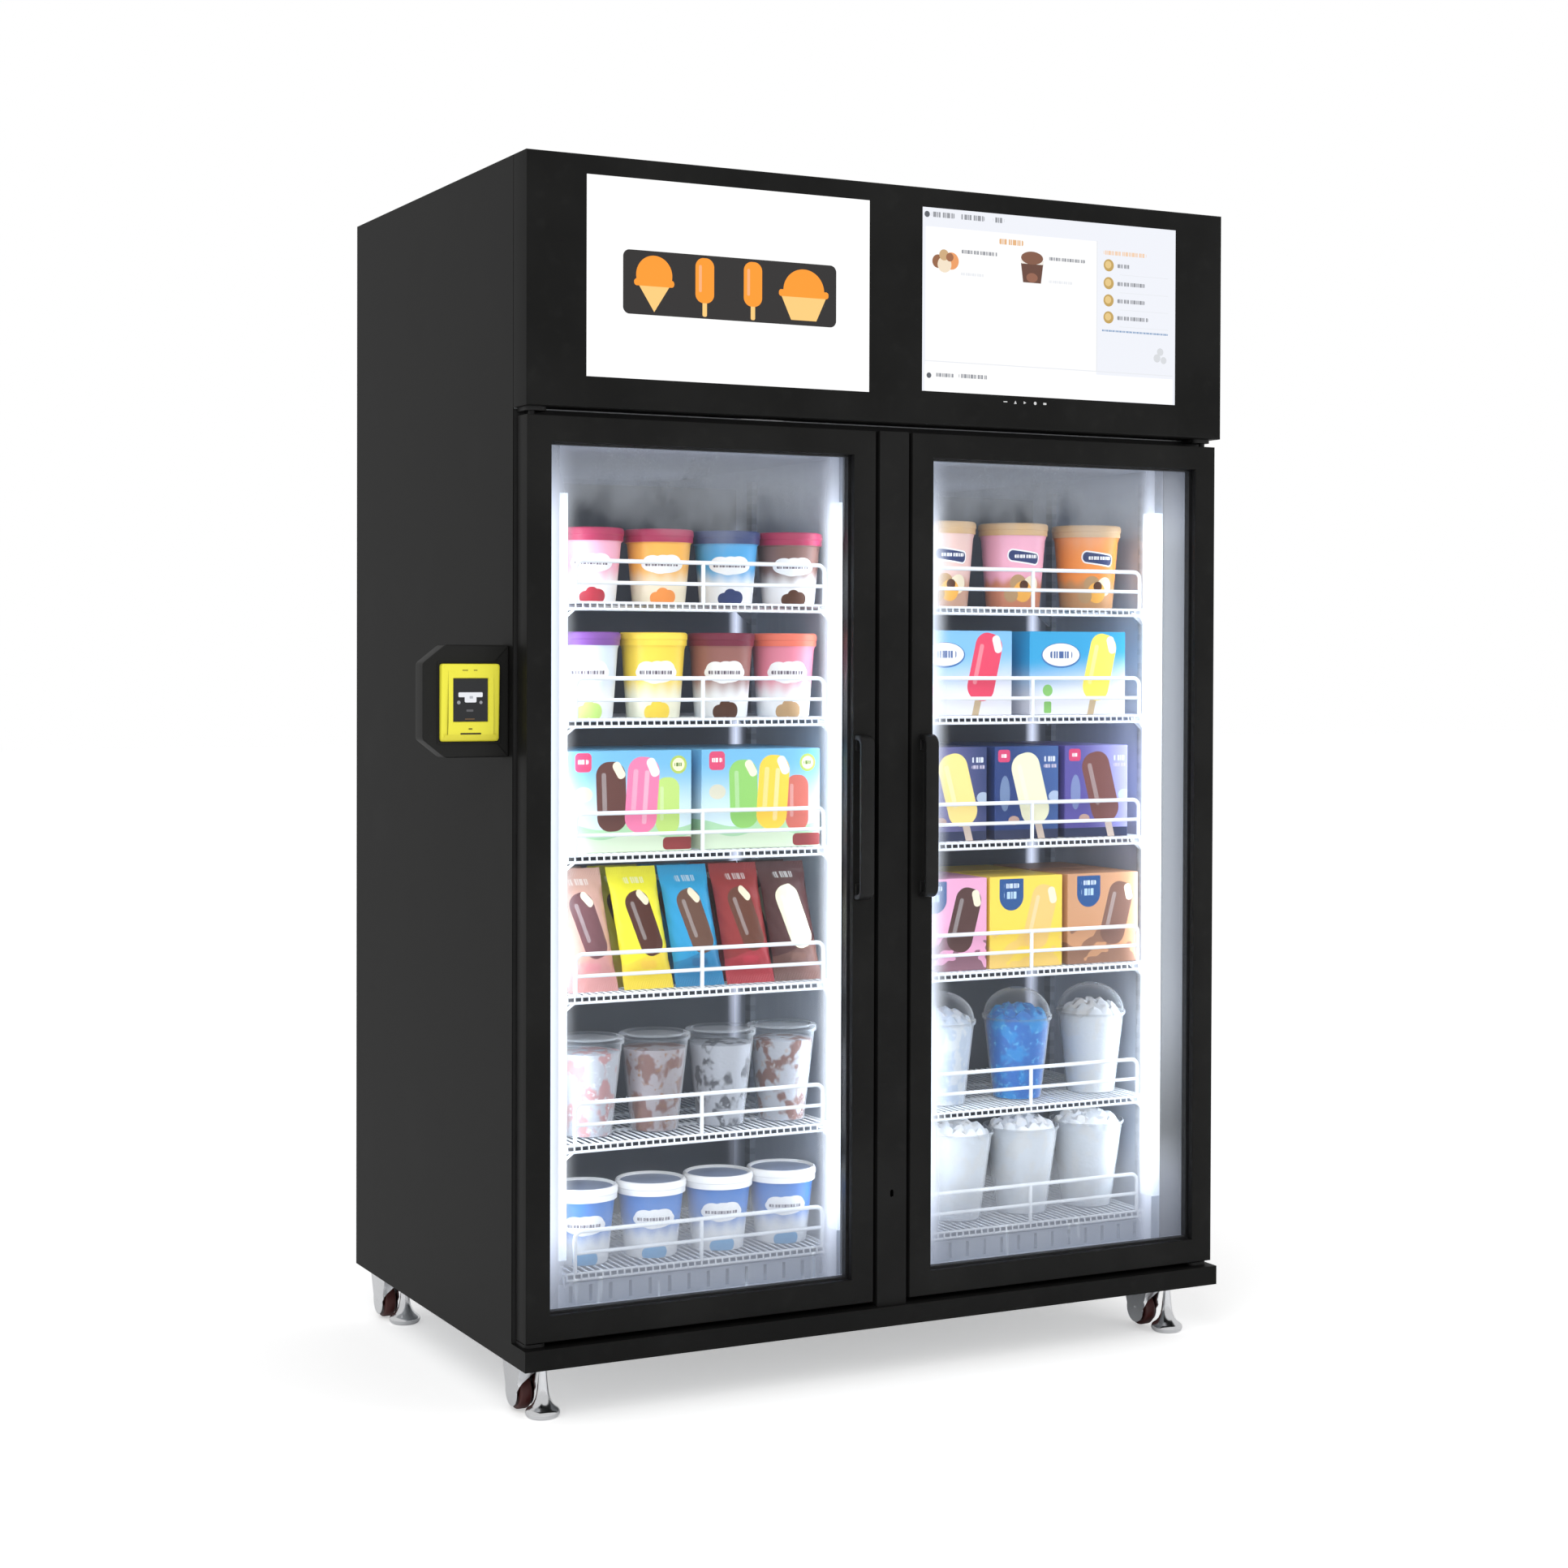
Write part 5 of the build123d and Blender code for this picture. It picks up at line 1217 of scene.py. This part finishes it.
def lathe_x(profile, centre, sides=40):
    """A shape turned on a lathe along X: (radius, x) points carried round."""
    profile = np.array(profile, float)
    angle = np.linspace(0, 2 * np.pi, sides + 1)[None, :]
    r, x = profile[:, :1], profile[:, 1:]
    y, z = centre[1] + r * np.cos(angle), centre[2] + r * np.sin(angle)
    return np.stack([centre[0] + x + 0 * angle, y, z], -1)


def cheek_plate(x, y, z, near, points):
    """One cheek: its outline is drawn in to a point, and pressed 2.5 mm thick with a soft edge."""
    points = np.concatenate([points, points[:1]])
    rows = []
    for inset, out in ((1, 0), (0.30, 0), (0.08, 0.12), (0, 0.6), (0, 1), (0.10, 1), (1, 1)):
        yz = points * (1 - inset) + np.array([y, z + 0.014]) * inset
        side = near + 0.0025 * (out if near > 0 else 1 - out)
        rows.append(np.stack([0 * yz[:, 0] + x + side, yz[:, 0], yz[:, 1]], -1))
    return np.array(rows)


def front_plate(x, y, z, head, top_y):
    """The plate across the cheeks' front: it follows the tyre, then runs straight up to the head.

    Its lower edge is cut on the slant: low is the share of the plate's length that is left off at each x.
    """
    rows = []
    for across, low in zip(np.linspace(-0.0150, 0.0150, 9), np.linspace(0, 0.6, 9)):
        sides = []
        for reach in (0.0318, 0.0300):
            front = np.array(turn((y, z), reach, 163, 148, 3) + [(top_y - reach, head - 0.002)])
            along = np.append(0, np.cumsum(np.linalg.norm(np.diff(front, axis=0), axis=1)))
            at = np.linspace(low, 1, 7) * along[-1]
            sides.append(np.stack([np.interp(at, along, front[:, 0]), np.interp(at, along, front[:, 1])], -1))
        loop = np.concatenate([sides[0], sides[1][::-1], sides[0][:1]])
        rows.append(np.concatenate([np.full((len(loop), 1), x + across), loop], 1))
    return np.array(rows)


brackets = []
top_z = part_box("caster_brackets")[1][2]
for corner in ("front_left", "front_right", "back_left", "back_right"):
    (x0, y0, z0), (x1, y1, z1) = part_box(f"foot_{corner}")
    fx, fy, r = (x0 + x1) / 2, (y0 + y1) / 2, (x1 - x0) / 2
    bell = [(0, 0), (r - 0.0075, 0)] + turn((r - 0.0075, 0.0075), 0.0075, -90, 58, 8)
    bell += [(r * 0.70, 0.0170), (r * 0.54, 0.0220), (r * 0.42, 0.0290), (r * 0.35, 0.037), (0.0084, 0.046),
             (0.0072, 0.057), (0.0062, 0.070), (0.0050, 0.0895), (0.0050, z1), (0, z1)]
    lay(f"foot_bell_{corner}", f"foot_{corner}", chrome, [turned(bell, (fx, fy, 0), 36)[..., :3]],
        replaces=[f"foot_{corner}"])

    (x0, y0, z0), (x1, y1, z1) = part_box(f"wheel_{corner}")
    hub, r, w = ((x0 + x1) / 2, (y0 + y1) / 2, (z0 + z1) / 2), (z1 - z0) / 2, (x1 - x0) / 2
    tyre = [(0.0042, -w), (0.010, -w), (0.011, -w + 0.002), (r - 0.007, -w + 0.002), (r - 0.005, -w)]
    tyre += turn((r - 0.004, -w + 0.004), 0.004, -90, 0)[1:]
    tyre += [(a, -b) for a, b in reversed(tyre)] + [tyre[0]]
    lay(f"wheel_tyre_{corner}", f"wheel_{corner}", nylon, [lathe_x(tyre, hub)], replaces=[f"wheel_{corner}"])

    wx, wy, wz = axle = (fx - 0.018, fy + 0.050, 0.032)
    low, high = (wx - 0.0165, fy - 0.0160, top_z - 0.003), (fx + 0.012, fy + 0.092, top_z)
    brackets.append(round_box(low, high, 0.0012))
    boss = [(0, 0), (0.0075, 0), (0.009, 0.0015), (0.009, 0.010), (0, 0.010)]
    brackets.append(turned(boss, (fx, fy, top_z - 0.012), 28)[..., :3])
    shape = np.array([(fy + 0.0075, top_z - 0.003)] + turn((wy, wz), 0.0318, 148, 163, 3)
                     + turn((wy, wz), 0.0238, 176, 372, 22) + [(fy + 0.092, top_z - 0.003)])
    brackets += [cheek_plate(*axle, near, shape) for near in (-0.0150, 0.0125)]
    brackets.append(front_plate(*axle, top_z, fy + 0.0393))
    rivet = [(0, -0.0155), (0.0035, -0.0150), (0.0060, -0.0140), (0.0060, -0.0134), (0.0040, -0.0134),
             (0.0040, 0.0134), (0.0060, 0.0134), (0.0060, 0.0140), (0.0035, 0.0150), (0, 0.0155)]
    brackets.append(lathe_x(rivet, axle, 24))
lay("caster_forks", "cabinet", chrome, brackets, sharp=40, replaces=["caster_brackets"])


# Refrigeration unit and other inner parts.
# Behind the header stand the compressor, the condenser with its fan, and the control box. The coils and
# their fans hang behind the duct sheets.
def plain(name, low, high, roughness, metallic=0.0, scale=150):
    """A painted, cast or rolled surface with a mottled colour and a fine grain."""
    return mottled(name, low, high, scale, roughness, scale, 3, 0.12, depth=0.0002, strength=0.25,
                   Metallic=metallic)


fins = new_finish("aluminium fins")
# Light and dark stripes run across the fins: painted light on the fin edges and painted shade between them.
rows = (fins.axes()[0] * 2500).maths("SINE")
fins.coat(Base_Color=fins.mix((0.40, 0.42, 0.44), (0.72, 0.74, 0.76), rows * 0.5 + 0.5), Metallic=0.9,
          Roughness=0.35, height=rows, depth=0.0006, strength=0.5)
dress("evaporator_coils condenser_coil", fins.owner)
dress("compressor", plain("black enamel", (0.010,) * 3, (0.025,) * 3, 0.28))
dress("condenser_shroud evaporator_fan_decks",
      plain("rolled zinc", (0.45, 0.47, 0.49), (0.6, 0.62, 0.64), 0.35, 0.8))
dress("condenser_fan evaporator_fan_left evaporator_fan_right power_inlet",
      plain("black nylon", (0.012,) * 3, (0.03,) * 3, 0.45))
dress("refrigerant_lines", plain("copper line", (0.55, 0.23, 0.11), (0.72, 0.36, 0.20), 0.28, 1.0, 60))
dress("control_box", plain("grey enamel", (0.35, 0.36, 0.37), (0.45, 0.46, 0.47), 0.4))
dress("foam_insulation", plain("polyurethane foam", (0.62, 0.50, 0.28), (0.78, 0.67, 0.42), 0.9, 0, 400))
dress("hinge_plates left_hinge_pins right_hinge_pins", plain("black plate", (0.010,) * 3, (0.02,) * 3, 0.5))
dress("lock_magnets left_armature_plate right_armature_plate",
      plain("plated steel", (0.40, 0.41, 0.42), (0.55, 0.56, 0.57), 0.3, 1.0))
